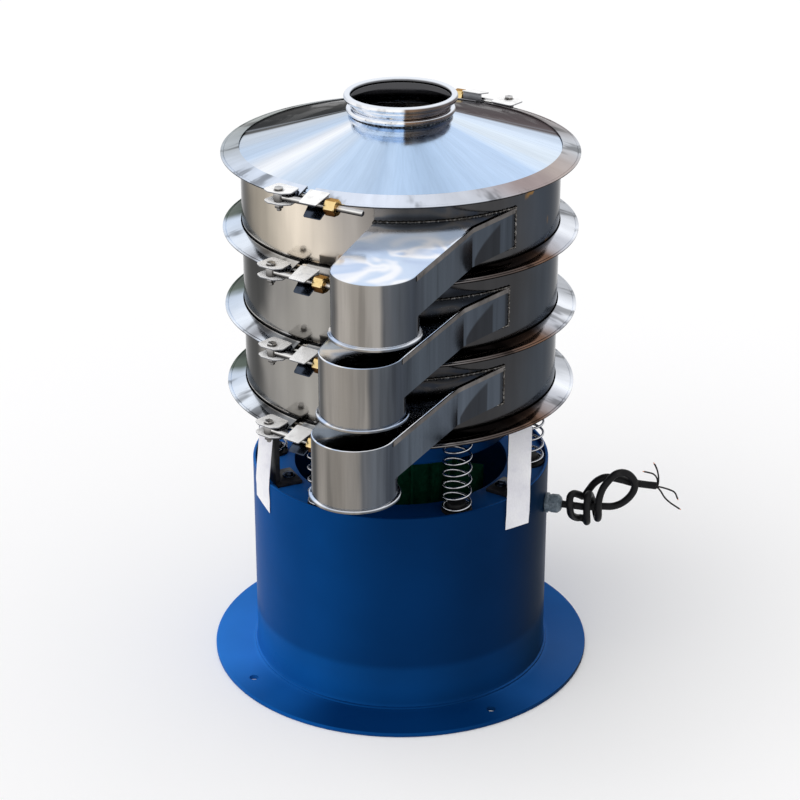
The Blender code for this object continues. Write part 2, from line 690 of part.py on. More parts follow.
def motor_housing():
    """The cast body with its fins, its terminal box and the flange that bolts under the dish."""
    shield_seat = MOTOR_SHIELD_RADIUS + GAP
    bore = BEARING_SEAT
    made = turned(
        "motor_housing",
        [
            (MOTOR_FLANGE_RADIUS, MOTOR_FLANGE_TOP),
            (MOTOR_FLANGE_RADIUS, MOTOR_FLANGE_BOTTOM),
            (MOTOR_RADIUS + 8 * MM, MOTOR_FLANGE_BOTTOM),
            (MOTOR_RADIUS + 2 * MM, MOTOR_FLANGE_BOTTOM - 6 * MM),
            (MOTOR_RADIUS, MOTOR_BOTTOM),
            (BEARING_RADIUS + GAP, MOTOR_BOTTOM),
            (BEARING_RADIUS + GAP, MOTOR_BOTTOM + BEARING_HEIGHT + 2 * GAP),
            (bore, MOTOR_BOTTOM + BEARING_HEIGHT + 2 * GAP),
            (bore, SHIELD_BOTTOM - GAP),
            (shield_seat, SHIELD_BOTTOM - GAP),
            (shield_seat, MOTOR_FLANGE_TOP),
        ],
        "green_paint",
        steps=24,
    )
    shape = bmesh.new()
    low = MOTOR_BOTTOM + 12 * MM
    high = MOTOR_FLANGE_BOTTOM - 12 * MM
    for i in range(MOTOR_FIN_COUNT):
        turn = Matrix.Rotation(2 * math.pi * (i + 0.5) / MOTOR_FIN_COUNT, 4, "Z")
        size = (MOTOR_FIN_RADIUS - MOTOR_RADIUS + 6 * MM, MOTOR_FIN_WIDTH, high - low, 1.0)
        middle = (MOTOR_FIN_RADIUS + MOTOR_RADIUS - 6 * MM) / 2
        shift = Matrix.Translation((middle, 0, (low + high) / 2))
        cube = bmesh.ops.create_cube(shape, size=1.0)
        bmesh.ops.transform(shape, matrix=turn @ shift @ Matrix.Diagonal(size), verts=cube["verts"])
    mesh = bpy.data.meshes.new("motor_fins")
    shape.to_mesh(mesh)
    shape.free()
    boolean(made, place("motor_fins", mesh), "UNION")
    half = TERMINAL_BOX_WIDTH / 2
    middle = (low + high) / 2
    terminals = box(
        "terminal_box",
        (-half, -MOTOR_FIN_RADIUS - TERMINAL_BOX_DEPTH, middle - TERMINAL_BOX_HEIGHT / 2),
        (half, -MOTOR_RADIUS + 4 * MM, middle + TERMINAL_BOX_HEIGHT / 2),
    )
    boolean(made, turn_to(terminals, GLAND_AZIMUTH), "UNION")
    for i in range(MOTOR_BOLT_COUNT):
        at = polar(MOTOR_BOLT_CIRCLE, MOTOR_BOLT_AZIMUTH + i * 360 / MOTOR_BOLT_COUNT)
        drill = rod(
            f"motor_drill_{i}",
            MOTOR_BOLT_RADIUS + GAP,
            at + Vector((0, 0, MOTOR_FLANGE_BOTTOM - 2 * MM)),
            at + Vector((0, 0, MOTOR_FLANGE_TOP + 2 * MM)),
            sides=BOLT_ROUND,
        )
        boolean(made, drill)


def motor_end_shield():
    """The upper bearing shield, which stands through the dish's hole."""
    seat_bottom = SHIELD_TOP - 4 * MM - BEARING_HEIGHT
    turned(
        "motor_end_shield",
        [
            (MOTOR_SHIELD_RADIUS - 6 * MM, SHIELD_TOP),
            (MOTOR_SHIELD_RADIUS, SHIELD_TOP - 6 * MM),
            (MOTOR_SHIELD_RADIUS, SHIELD_BOTTOM),
            (BEARING_SEAT + 4 * MM, SHIELD_BOTTOM),
            (BEARING_RADIUS + GAP, seat_bottom - 2 * GAP),
            (BEARING_RADIUS + GAP, SHIELD_TOP - 4 * MM),
            (BEARING_SEAT, SHIELD_TOP - 4 * MM),
            (BEARING_SEAT, SHIELD_TOP),
        ],
        "green_paint",
        steps=24,
    )


def motor_bearings():
    """The two rolling bearings, drawn as plain rings between shaft and housing."""
    upper_seat = SHIELD_TOP - 4 * MM - BEARING_HEIGHT - GAP
    for name, bottom in (("lower_bearing", MOTOR_BOTTOM + GAP), ("upper_bearing", upper_seat)):
        top = bottom + BEARING_HEIGHT
        inner = SHAFT_RADIUS + GAP
        turned(
            name,
            [(BEARING_RADIUS, top), (BEARING_RADIUS, bottom), (inner, bottom), (inner, top)],
            "zinc_steel",
            steps=24,
        )


def motor_guard():
    """The cup over the lower weight, closed by the motor's underside."""
    top = MOTOR_BOTTOM - GAP
    inner = GUARD_RADIUS - GUARD_WALL
    turned(
        "motor_guard",
        [
            (GUARD_RADIUS, top),
            (GUARD_RADIUS, GUARD_BOTTOM + 8 * MM),
            (GUARD_RADIUS - 8 * MM, GUARD_BOTTOM),
            (0, GUARD_BOTTOM),
            (0, GUARD_BOTTOM + GUARD_WALL),
            (inner - 7 * MM, GUARD_BOTTOM + GUARD_WALL),
            (inner, GUARD_BOTTOM + 10 * MM),
            (inner, top - GUARD_WALL),
            (MOTOR_RADIUS - 12 * MM, top - GUARD_WALL),
            (MOTOR_RADIUS - 12 * MM, top),
        ],
        "green_paint",
        steps=24,
    )


def rotor_shaft():
    """The motor's shaft, stepped at its ends for the weights."""
    rod("rotor_shaft", SHAFT_RADIUS, (0, 0, SHAFT_BOTTOM), (0, 0, SHAFT_TOP), "zinc_steel")


def eccentric_weight(name, bottom, middle_azimuth):
    """A sector of steel plate on a round hub, bored for the shaft."""
    outline = []
    steps = 10
    for i in range(steps + 1):
        azimuth = middle_azimuth - WEIGHT_SWEEP / 2 + WEIGHT_SWEEP * i / steps
        outline.append(polar(WEIGHT_RADIUS, azimuth)[:2])
    back = 360 - WEIGHT_SWEEP
    for i in range(1, 6):
        azimuth = middle_azimuth + WEIGHT_SWEEP / 2 + back * i / 6
        outline.append(polar(WEIGHT_HUB_RADIUS, azimuth)[:2])
    made = plate(name, outline, bottom, bottom + WEIGHT_THICKNESS, "cast_steel")
    drill = rod(
        name + "_drill",
        SHAFT_RADIUS + GAP,
        (0, 0, bottom - 2 * MM),
        (0, 0, bottom + WEIGHT_THICKNESS + 2 * MM),
    )
    boolean(made, drill)


def frame_drum(name, lower, upper, spout):
    """One sieve frame: a rolled wall with a flange at each end and the spout's mouth."""
    low = RING_HEIGHTS[lower] + FLANGE_NEAR
    high = RING_HEIGHTS[upper] - FLANGE_NEAR
    sheet = JOINT_FLANGE_THICKNESS
    inner = DRUM_RADIUS - DRUM_WALL
    made = turned(
        name,
        [
            (JOINT_FLANGE_RADIUS, high),
            (JOINT_FLANGE_RADIUS, high - sheet),
            (DRUM_RADIUS, high - sheet),
            (DRUM_RADIUS, low + sheet),
            (JOINT_FLANGE_RADIUS, low + sheet),
            (JOINT_FLANGE_RADIUS, low),
            (inner, low),
            (inner, high),
        ],
        "polished_steel",
    )
    mouth = plate(
        name + "_mouth",
        spout_outline(SPOUT_SHEET, DRUM_RADIUS - 40 * MM),
        spout_floor(spout) + SPOUT_SHEET,
        spout_top(spout) - SPOUT_SHEET,
    )
    boolean(made, turn_to(mouth, SPOUT_AZIMUTHS[spout]))


def spout_top(spout):
    above = {"upper": "a", "middle": "b", "lower": "c"}[spout]
    return RING_HEIGHTS[above] - SPOUT_TOP_DROPS[spout]


def spout_floor(spout):
    return spout_top(spout) - SPOUT_CHUTE_HEIGHT


def tangent_angle(point, centre, radius, side):
    """Direction from the centre to where a line from the point touches the circle."""
    toward = Vector(point) - Vector(centre)
    lean = math.acos(radius / toward.length)
    return math.atan2(toward.y, toward.x) + side * lean


def pipe_arc(inset):
    """The pipe's outer arc between the chute's two walls, as start and end angles."""
    radius = SPOUT_PIPE_RADIUS - inset
    centre = Vector((0.0, -SPOUT_PIPE_REACH))
    start = tangent_angle(spout_left_root(inset), centre, radius, 1)
    end = tangent_angle(spout_bend(inset), centre, radius, -1)
    while start > end:
        start -= 2 * math.pi
    return start, end


def spout_left_root(inset):
    return polar(DRUM_RADIUS, SPOUT_LEFT_AZIMUTH).to_2d() + Vector((inset, 0))


def spout_right_root(inset):
    return polar(DRUM_RADIUS, SPOUT_RIGHT_AZIMUTH).to_2d() + Vector((-inset, inset)) * 0.7


def spout_bend(inset):
    return polar(SPOUT_BEND_REACH, SPOUT_BEND_AZIMUTH).to_2d() + Vector((-inset, inset * 0.5))


def arc_points(inset, start, end, steps):
    """Points on the pipe's circle from one angle to another, both included."""
    radius = SPOUT_PIPE_RADIUS - inset
    points = []
    for i in range(steps + 1):
        angle = start + (end - start) * i / steps
        points.append(Vector((radius * math.cos(angle), radius * math.sin(angle) - SPOUT_PIPE_REACH)))
    return points


def spout_outline(inset, root_reach):
    """The chute and pipe seen from above, at the front, with its walls set in."""
    start, end = pipe_arc(inset)
    left = spout_left_root(inset)
    right = spout_right_root(inset)
    outline = arc_points(inset, start, end, SPOUT_ARC_STEPS)
    outline += [spout_bend(inset), right, right.normalized() * root_reach, left.normalized() * root_reach, left]
    return [tuple(p) for p in outline]


def pipe_outline(inset):
    """The whole pipe seen from above, with its points on the chute's arc shared."""
    start, end = pipe_arc(inset)
    front = arc_points(inset, start, end, SPOUT_ARC_STEPS)
    back = arc_points(inset, end, start + 2 * math.pi, SPOUT_ARC_STEPS)
    return [tuple(p) for p in front + back[1:-1]]


def spout(size):
    """A flat box chute off the frame's wall, ending in a pipe that opens downwards."""
    name = size + "_spout"
    top = spout_top(size)
    floor = spout_floor(size)
    low = top - SPOUT_PIPE_HEIGHT
    lip = SPOUT_LIP_RADIUS
    wall = SPOUT_PIPE_RADIUS
    root = DRUM_RADIUS - 20 * MM
    made = plate(name, spout_outline(0, root), floor, top, "polished_steel")
    pipe = plate(name + "_pipe", pipe_outline(0), low, floor + 10 * MM)
    rim = turned(
        name + "_lip",
        [
            (wall - 1 * MM, low + 2.4 * lip),
            (wall + lip, low + 1.6 * lip),
            (wall + 2 * lip, low + lip),
            (wall + lip, low),
            (wall - 2 * MM, low),
            (wall - 2 * MM, low + 2.4 * lip),
        ],
        steps=24,
    )
    chute = plate(
        name + "_chute_space",
        spout_outline(SPOUT_SHEET, root - 20 * MM),
        floor + SPOUT_SHEET,
        top - SPOUT_SHEET,
    )
    bore = plate(name + "_bore", pipe_outline(SPOUT_SHEET), low - 5 * MM, floor + 12 * MM)
    drum = turned(
        name + "_drum_space",
        [
            (0, top + 5 * MM),
            (DRUM_RADIUS + GAP, top + 5 * MM),
            (DRUM_RADIUS + GAP, floor - 5 * MM),
            (0, floor - 5 * MM),
        ],
    )
    rim.location.y = -SPOUT_PIPE_REACH
    for tool, operation in ((pipe, "UNION"), (rim, "UNION"), (chute, "DIFFERENCE"), (bore, "DIFFERENCE")):
        boolean(made, tool, operation)
        turn_to(tool, SPOUT_AZIMUTHS[size])
    boolean(made, drum)
    turn_to(made, SPOUT_AZIMUTHS[size])


def sieve_screen(name, ring):
    """A screen: a rim with its seal, held in the joint, a raised collar and the mesh on top."""
    height = RING_HEIGHTS[ring]
    outer = JOINT_FLANGE_RADIUS
    collar = SCREEN_RADIUS
    top = height + SCREEN_RISE
    turned(
        name,
        [
            (0, top),
            (collar, top),
            (collar, height + HALF_SEAL),
            (outer, height + HALF_SEAL),
            (outer, height - HALF_SEAL),
            (collar - SCREEN_THICKNESS, height - HALF_SEAL),
            (collar - SCREEN_THICKNESS, top - SCREEN_THICKNESS),
            (0, top - SCREEN_THICKNESS),
        ],
        "polished_steel",
    )


def bottom_pan():
    """The domed pan that sheds the fines towards the lowest spout."""
    height = RING_HEIGHTS["d"]
    outer = JOINT_FLANGE_RADIUS
    collar = SCREEN_RADIUS
    edge = height + PAN_RISE
    sheet = DRUM_WALL
    dome = []
    steps = 3
    for i in range(steps + 1):
        share = i / steps
        dome.append((collar * share, edge + PAN_CROWN * (1 - share**2)))
    turned(
        "bottom_pan",
        dome
        + [
            (collar, height + HALF_SEAL),
            (outer, height + HALF_SEAL),
            (outer, height - HALF_SEAL),
            (collar - sheet, height - HALF_SEAL),
        ]
        + [(max(radius - sheet, 0) if radius else 0, top - sheet) for radius, top in reversed(dome)],
        "polished_steel",
    )


def lid():
    """The conical cover, with the sealed flange that the top ring clamps."""
    low = RING_HEIGHTS["a"] - HALF_SEAL
    edge = DRUM_RADIUS + 6 * MM
    top = RING_HEIGHTS["a"] + FLANGE_FAR
    inner = DRUM_RADIUS - DRUM_WALL
    rise = 2 * MM
    turned(
        "lid",
        [
            (LID_CONE_TOP_RADIUS, LID_CONE_TOP),
            (edge, top + rise),
            (edge + rise, top),
            (JOINT_FLANGE_RADIUS, top),
            (JOINT_FLANGE_RADIUS, low),
            (inner, low),
            (inner, top + rise - LID_SHEET),
            (LID_CONE_TOP_RADIUS, LID_CONE_TOP - LID_SHEET),
        ],
        "polished_steel",
    )


def inlet_collar():
    """The feed neck on the lid, with its bead and rolled rim."""
    foot = LID_CONE_TOP - 3 * MM
    neck = INLET_NECK_RADIUS
    bead = INLET_BEAD_RADIUS
    middle = INLET_BEAD_HEIGHT
    rim = INLET_RIM_RADIUS
    top = INLET_RIM_HEIGHT
    roll = 5 * MM
    inside = LID_CONE_TOP_RADIUS - GAP
    turned(
        "inlet_collar",
        [
            (rim - roll, top),
            (rim, top - roll),
            (rim - roll, top - 2 * roll),
            (neck, top - 2 * roll),
            (neck, middle + 5 * MM),
            (bead, middle),
            (neck, middle - 5 * MM),
            (neck, LID_CONE_TOP + GAP),
            (inside, LID_CONE_TOP + GAP),
            (inside, foot),
            (INLET_BORE_RADIUS, foot),
            (INLET_BORE_RADIUS, top - 2 * MM),
            (INLET_BORE_RADIUS + 2 * MM, top),
        ],
        "polished_steel",
        steps=24,
    )


def closure_frame(name, azimuth, height):
    """An empty at a closure's foot: x along the bolt, y towards the part's axis, z up."""
    frame = bpy.data.objects.new(name, None)
    PARTS.objects.link(frame)
    frame.empty_display_size = 20 * MM
    frame.location = polar(CLOSURE_RADIUS, azimuth, height)
    frame.rotation_euler.z = math.radians(azimuth)
    return frame


EAR_BOTTOM = EYE_HEIGHT / 2 + GAP
EAR_TOP = EAR_BOTTOM + EAR_THICKNESS
EAR_OUTLINE_MM = [(-12, 20), (-44, 24), (-48, -3), (-38, -9), (-19, -9), (-10, -1)]
EAR_WEB_MM = ((-42, 13, 2.6), (-14, 18, 7))


def clamp_half(name, height, yoke_frame, fork_frame):
    """Half a ring of V section, with a yoke at one end and a fork with its pin at the other."""
    half = BAND_HALF_HEIGHT
    inner_tip = BAND_RADIUS - BAND_THICKNESS
    made = turned(
        name,
        [
            (BAND_INNER_RADIUS, height + half),
            (BAND_RADIUS, height + BAND_NOSE / 2),
            (BAND_RADIUS, height - BAND_NOSE / 2),
            (BAND_INNER_RADIUS, height - half),
            (BAND_INNER_RADIUS, height - half + BAND_THICKNESS),
            (inner_tip, height),
            (BAND_INNER_RADIUS, height + half - BAND_THICKNESS),
        ],
        "polished_steel",
    )
    wide = 2 * CLOSURE_RADIUS
    other_half = box(name + "_other_half", (-wide, -20 * MM, -20 * MM), (BAND_SPLIT_TO, wide + 20 * MM, 20 * MM))
    split = box(name + "_split", (BAND_SPLIT_FROM, -20 * MM, -20 * MM), (BAND_SPLIT_TO, 40 * MM, 20 * MM))
    mount_on(yoke_frame, other_half)
    mount_on(fork_frame, split)
    boolean(made, other_half)
    boolean(made, split)
    web_near, web_far = (Vector(corner) * MM for corner in EAR_WEB_MM)
    for level, side in (("upper", 1), ("lower", -1)):
        flap = yoke_flap(f"{name}_{level}_flap", side)
        mount_on(yoke_frame, flap)
        boolean(made, flap, "UNION")
        outline = [(x * MM, y * MM) for x, y in EAR_OUTLINE_MM]
        low, high = sorted((side * EAR_BOTTOM, side * EAR_TOP))
        ear = plate(f"{name}_{level}_ear", outline, low, high)
        low, high = sorted((side * web_near.z, side * web_far.z))
        web = box(f"{name}_{level}_web", (web_near.x, web_near.y, low), (web_far.x, web_far.y, high))
        mount_on(fork_frame, ear, web)
        boolean(made, ear, "UNION")
        boolean(made, web, "UNION")
    for tool in pivot_pin(name + "_pin"):
        mount_on(fork_frame, tool)
        boolean(made, tool, "UNION")


def yoke_flap(name, side):
    """One flap of the yoke, rising outwards from the ring's apex, above or below the bolt."""
    root = Vector((0, 11 * MM, 0.6 * MM * side))
    tip = Vector((0, -8 * MM, 10.6 * MM * side))
    half = (tip - root).length / 2
    made = box(name, (YOKE_START, -half, -YOKE_THICKNESS / 2), (YOKE_END, half, YOKE_THICKNESS / 2))
    made.location = (root + tip) / 2
    made.rotation_euler.x = math.atan2(tip.z - root.z, tip.y - root.y)
    return made


def swing_bolt(name, frame):
    """An eye bolt that swings on the pivot pin and lies in the yoke."""
    half = EYE_HEIGHT / 2
    eye = rod(name, EYE_RADIUS, (0, 0, -half), (0, 0, half), "zinc_steel", sides=12)
    end = SWING_BOLT_END - PIVOT_X
    shank = rod(name + "_shank", SWING_BOLT_RADIUS, (EYE_RADIUS - 2 * MM, 0, 0), (end, 0, 0), sides=BOLT_ROUND)
    drill = rod(name + "_drill", PIVOT_HOLE_RADIUS, (0, 0, -EYE_HEIGHT), (0, 0, EYE_HEIGHT), sides=BOLT_ROUND)
    boolean(eye, shank, "UNION")
    boolean(eye, drill)
    mount_on(frame, eye, shank, drill)
    for piece in (eye, shank, drill):
        piece.location.x = PIVOT_X


def brass_nut(name, frame):
    """The hexagon nut at the yoke's end, slacked off enough for the bolt to swing out."""
    start = YOKE_END + NUT_PLAY
    end = start + NUT_THICKNESS
    nut = rod(name, NUT_ACROSS_FLATS / math.sqrt(3), (start, 0, 0), (end, 0, 0), "brass", sides=6)
    drill = rod(name + "_drill", NUT_BORE_RADIUS, (start - 2 * MM, 0, 0), (end + 2 * MM, 0, 0), sides=BOLT_ROUND)
    boolean(nut, drill)
    mount_on(frame, nut, drill)


def pivot_pin(name):
    """The hexagon bolt that holds a fork's ears together, with its nut under them."""
    low = -EAR_TOP + 1 * MM
    high = EAR_TOP - 1 * MM
    x = PIVOT_X
    pin = rod(name, PIVOT_RADIUS, (x, 0, low - 7 * MM), (x, 0, high), sides=BOLT_ROUND)
    head = rod(name + "_head", PIVOT_HEAD_RADIUS, (x, 0, high), (x, 0, high + 1 * MM + PIVOT_HEAD_HEIGHT), sides=6)
    nut = rod(name + "_nut", PIVOT_HEAD_RADIUS, (x, 0, low - 5 * MM), (x, 0, low), sides=6)
    return pin, head, nut


def clamps():
    for ring, height in RING_HEIGHTS.items():
        azimuth = CLOSURE_AZIMUTHS[ring]
        front = closure_frame(f"closure_{ring}_front", azimuth, height)
        rear = closure_frame(f"closure_{ring}_rear", azimuth + 180, height)
        clamp_half(f"clamp_ring_{ring}_right", height, front, rear)
        clamp_half(f"clamp_ring_{ring}_left", height, rear, front)
        for side, frame in (("front", front), ("rear", rear)):
            swing_bolt(f"swing_bolt_{ring}_{side}", frame)
            brass_nut(f"clamp_nut_{ring}_{side}", frame)


def shade_parts():
    """Shade round faces smooth and keep the corners sharp."""
    for made in PARTS.objects:
        if made.type == "MESH" and made.data.polygons:
            made.data.shade_smooth()
            made.data.set_sharp_from_angle(angle=math.radians(35))


def main():
    base_shell()
    spring_plate()
    isolation_springs()
    transport_brackets()
    tag("tag_right", TAG_RIGHT_AZIMUTH, *TAG_RIGHT_REACH, TAG_RIGHT_FACING, -TAG_SLANT)
    tag("tag_left", TAG_LEFT_AZIMUTH, *TAG_LEFT_REACH, TAG_LEFT_FACING, TAG_SLANT)
    gland()
    power_cord()
    vibrating_dish()
    motor_housing()
    motor_end_shield()
    motor_bearings()
    motor_guard()
    rotor_shaft()
    eccentric_weight("upper_weight", UPPER_WEIGHT_BOTTOM, 0)
    eccentric_weight("lower_weight", LOWER_WEIGHT_BOTTOM, LOWER_WEIGHT_LEAD)
    bottom_pan()
    frame_drum("lower_frame", "d", "c", "lower")
    frame_drum("middle_frame", "c", "b", "middle")
    frame_drum("upper_frame", "b", "a", "upper")
    for size in SPOUT_AZIMUTHS:
        spout(size)
    sieve_screen("lower_screen", "c")
    sieve_screen("upper_screen", "b")
    lid()
    inlet_collar()
    clamps()
    shade_parts()


main()
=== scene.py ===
"""The looks of a round three-deck vibrating sieve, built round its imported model."""

import math

import bmesh
import bpy
from mathutils import Matrix, Vector, noise


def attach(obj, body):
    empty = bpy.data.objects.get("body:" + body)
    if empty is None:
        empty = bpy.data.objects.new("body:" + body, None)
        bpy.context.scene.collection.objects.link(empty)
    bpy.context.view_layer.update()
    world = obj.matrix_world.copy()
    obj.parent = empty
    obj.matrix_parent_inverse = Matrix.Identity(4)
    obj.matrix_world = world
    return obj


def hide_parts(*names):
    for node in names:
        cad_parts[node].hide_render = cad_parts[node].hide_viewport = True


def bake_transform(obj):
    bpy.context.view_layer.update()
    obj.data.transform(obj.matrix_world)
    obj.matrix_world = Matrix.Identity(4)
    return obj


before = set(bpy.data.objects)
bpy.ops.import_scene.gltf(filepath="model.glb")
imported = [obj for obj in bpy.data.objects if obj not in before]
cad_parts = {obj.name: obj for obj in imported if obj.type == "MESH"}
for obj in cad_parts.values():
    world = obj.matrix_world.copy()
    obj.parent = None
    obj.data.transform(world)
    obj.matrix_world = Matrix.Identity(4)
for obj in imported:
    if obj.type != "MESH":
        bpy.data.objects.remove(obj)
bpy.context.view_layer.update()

MM = 0.001
RINGS = {"d": 393.1, "c": 500.1, "b": 604.4, "a": 701.7}
CLOSURES = {"a": -30.9, "b": -34.7, "c": -35.1, "d": -37.5}
CLOSURE_REACH, PIN_ASIDE = 231, -28
DRUMS = {"lower": ("d", "c"), "middle": ("c", "b"), "upper": ("b", "a")}
DRUM_R, DRUM_BORE, DRUM_FLANGE_R, SHEET = 200, 198, 212, 1.5
SPOUT_AZIMUTHS = {"upper": -4.7, "middle": -7.1, "lower": -8.7}
SPOUT_DROPS = {"upper": 26.5, "middle": 28.5, "lower": 26.5}
CHUTE_DEPTH, PIPE_DEPTH, PIPE_REACH, PIPE_R = 50.0, 78.5, 352.0, 50.0
CHUTE_LEFT, CHUTE_BEND, CHUTE_RIGHT = (DRUM_R, -4.5), (231, 26), (DRUM_R, 48)
NECK_FOOT = 748.0
ROUND = 144
WHITE = (1.0, 1.0, 1.0)

# Places


def polar(reach, azimuth, height=0.0):
    """A point in millimetres; azimuth 0 is the front and grows towards +X."""
    angle = math.radians(azimuth)
    return Vector((reach * math.sin(angle), -reach * math.cos(angle), height))


def azimuth_of(point):
    return math.degrees(math.atan2(point.x, -point.y))


def spoke(radius, angle):
    """A flat point at an angle in radians from +X."""
    return radius * math.cos(angle), radius * math.sin(angle)


def turn(azimuth):
    return Matrix.Rotation(math.radians(azimuth), 4, "Z")


def shift(x, y=0.0, z=0.0):
    return Matrix.Translation((x, y, z))


def stand(reach, azimuth, height=0.0):
    return Matrix.Translation(polar(reach, azimuth, height))


def closure_matrix(ring, side):
    """A closure's own frame: x along its bolt, y towards the axis, z up."""
    azimuth = CLOSURES[ring] + (180 if side == "rear" else 0)
    return stand(CLOSURE_REACH, azimuth, RINGS[ring]) @ turn(azimuth)


def spout_heights(size):
    """The pipe's lower end, the chute's floor and its top."""
    top = RINGS[DRUMS[size][1]] - SPOUT_DROPS[size]
    return top - PIPE_DEPTH, top - CHUTE_DEPTH, top


# Shapes


class Shape:
    """Vertices and faces in millimetres, gathered from simpler shapes."""

    def __init__(self):
        self.points, self.faces, self.finishes = [], [], []

    def add(self, other, at=None, finish=0):
        base = len(self.points)
        points, faces = other
        self.points += [at @ Vector(p) for p in points] if at else [Vector(p) for p in points]
        self.faces += [[base + i for i in face] for face in faces]
        self.finishes += [finish] * len(faces)
        return self


def shade(mesh, sharp=35):
    mesh.polygons.foreach_set("use_smooth", [True] * len(mesh.polygons))
    mesh.set_sharp_from_angle(angle=math.radians(sharp))


def placed_object(name, data):
    made = bpy.data.objects.new(name, data)
    bpy.context.scene.collection.objects.link(made)
    return made


def piece(name, shape, finishes, replaced=None, body="sieve_deck",
          sharp=35, merge=True, at=None):
    """Turns a shape into a visible piece that rides on a body."""
    if not isinstance(shape, Shape):
        shape = Shape().add(shape)
    points = [at @ p for p in shape.points] if at else shape.points
    mesh = bpy.data.meshes.new(name)
    mesh.from_pydata([tuple(p * MM) for p in points], [], shape.faces)
    mesh.polygons.foreach_set("material_index", shape.finishes)
    for finish in finishes if isinstance(finishes, list) else [finishes]:
        mesh.materials.append(finish)
    work = bmesh.new()
    work.from_mesh(mesh)
    if merge:
        bmesh.ops.remove_doubles(work, verts=work.verts, dist=1e-6)
    bmesh.ops.recalc_face_normals(work, faces=work.faces)
    work.to_mesh(mesh)
    work.free()
    shade(mesh, sharp)
    made = placed_object(name, mesh)
    if body:
        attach(made, body)
    if replaced:
        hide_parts(replaced)
    return made


def rounded(points, radius, steps=3, loop=True):
    """A flat line with its corners rounded, by one radius or by one for each corner."""
    made = []
    for i, point in enumerate(points):
        size = radius[i] if isinstance(radius, list) else radius
        here = Vector(point)
        back = Vector(points[i - 1]) - here
        ahead = Vector(points[(i + 1) % len(points)]) - here
        kept = size <= 0 or not loop and i in (0, len(points) - 1) or min(back.length, ahead.length) < 1e-6
        cosine = 0.0 if kept else max(-1.0, min(1.0, back.normalized().dot(ahead.normalized())))
        half = math.acos(cosine) / 2
        if kept or half > math.radians(86):
            made.append(tuple(here))
            continue
        reach = min(size / math.tan(half), 0.48 * back.length, 0.48 * ahead.length)
        start = here + back.normalized() * reach
        end = here + ahead.normalized() * reach
        for k in range(steps + 1):
            share = k / steps
            made.append(tuple(start * (1 - share) ** 2 + here * 2 * share * (1 - share) + end * share**2))
    return made


def bent(points, radius, steps=3):
    """A rounded line that stays open."""
    return rounded(points, radius, steps, loop=False)


def numbered(rows):
    """Rows of points as one list, and the numbers of each row's points in it."""
    points, numbers = [], []
    for row in rows:
        numbers.append(list(range(len(points), len(points) + len(row))))
        points += row
    return points, numbers


def skin(rows, wrap=True, loop=False):
    """Faces between rows of point numbers; wrap closes each row, loop joins the last to the first."""
    faces = []
    for low, high in zip(rows, rows[1:] + (rows[:1] if loop else [])):
        for k in range(len(low) if wrap else len(low) - 1):
            n = (k + 1) % len(low)
            face = list(dict.fromkeys([low[k], low[n], high[n], high[k]]))
            if len(face) > 2:
                faces.append(face)
    return faces


def ends(rows):
    """The two faces across the first and the last column."""
    return [[row[0] for row in rows], [row[-1] for row in reversed(rows)]]


def tube(rows, capped=True):
    points, numbers = numbered(rows)
    return points, skin(numbers) + ([numbers[0][::-1], numbers[-1]] if capped else [])


def lathe(profile, steps=ROUND, start=0.0, end=360.0, loop=False, wave=None):
    """Turns (radius, height) points round the upright axis, with caps on an open sweep."""
    full = abs(end - start) > 359.99
    columns = steps if full else steps + 1
    points, rows = [], []
    for radius, height in profile:
        if radius < 1e-6:
            rows.append([len(points)] * columns)
            points.append(Vector((0, 0, height)))
            continue
        rows.append(list(range(len(points), len(points) + columns)))
        for k in range(columns):
            azimuth = start + (end - start) * k / steps
            lift = wave(radius, azimuth, height) if wave else 0.0
            points.append(polar(radius, azimuth, height + lift))
    return points, skin(rows, full, loop) + (ends(rows) if loop and not full else [])


def washer(radius, high, low, corner, steps):
    """A flat disc with its upper corner eased."""
    return lathe(bent([(0, high), (radius, high), (radius, low), (0, low)], [0, corner, 0, 0], 2), steps)


def drained(work):
    """A bmesh's points and faces, which frees it."""
    work.verts.index_update()
    result = [v.co.copy() for v in work.verts], [[v.index for v in f.verts] for f in work.faces]
    work.free()
    return result


def flat(outline, height):
    """A level face on an outline, cut into triangles."""
    work = bmesh.new()
    work.faces.new([work.verts.new((p.x, p.y, height)) for p in outline])
    bmesh.ops.triangulate(work, faces=work.faces, ngon_method="BEAUTY")
    return drained(work)


def prism(outline, low, high, bevel=0.0):
    """An upright prism on an outline, with its sharp edges eased."""
    work = bmesh.new()
    bottom = [work.verts.new((x, y, low)) for x, y in outline]
    top = [work.verts.new((x, y, high)) for x, y in outline]
    work.faces.new(bottom[::-1])
    work.faces.new(top)
    for i in range(len(outline)):
        n = (i + 1) % len(outline)
        work.faces.new([bottom[i], bottom[n], top[n], top[i]])
    bmesh.ops.recalc_face_normals(work, faces=work.faces)
    if bevel > 0:
        limit = math.radians(30)
        edges = [e for e in work.edges if len(e.link_faces) == 2 and e.calc_face_angle() > limit]
        form = {"affect": "EDGES", "profile": 0.5, "clamp_overlap": True}
        bmesh.ops.bevel(work, geom=edges, offset=bevel, segments=2, **form)
    return drained(work)


def block(low, high, bevel):
    (x0, y0, z0), (x1, y1, z1) = low, high
    return prism([(x0, y0), (x1, y0), (x1, y1), (x0, y1)], z0, z1, bevel)


def hexagon(corner_radius, low, high, bevel, first=0):
    outline = [spoke(corner_radius, math.radians(60 * k + first)) for k in range(6)]
    return prism(outline, low, high, bevel)


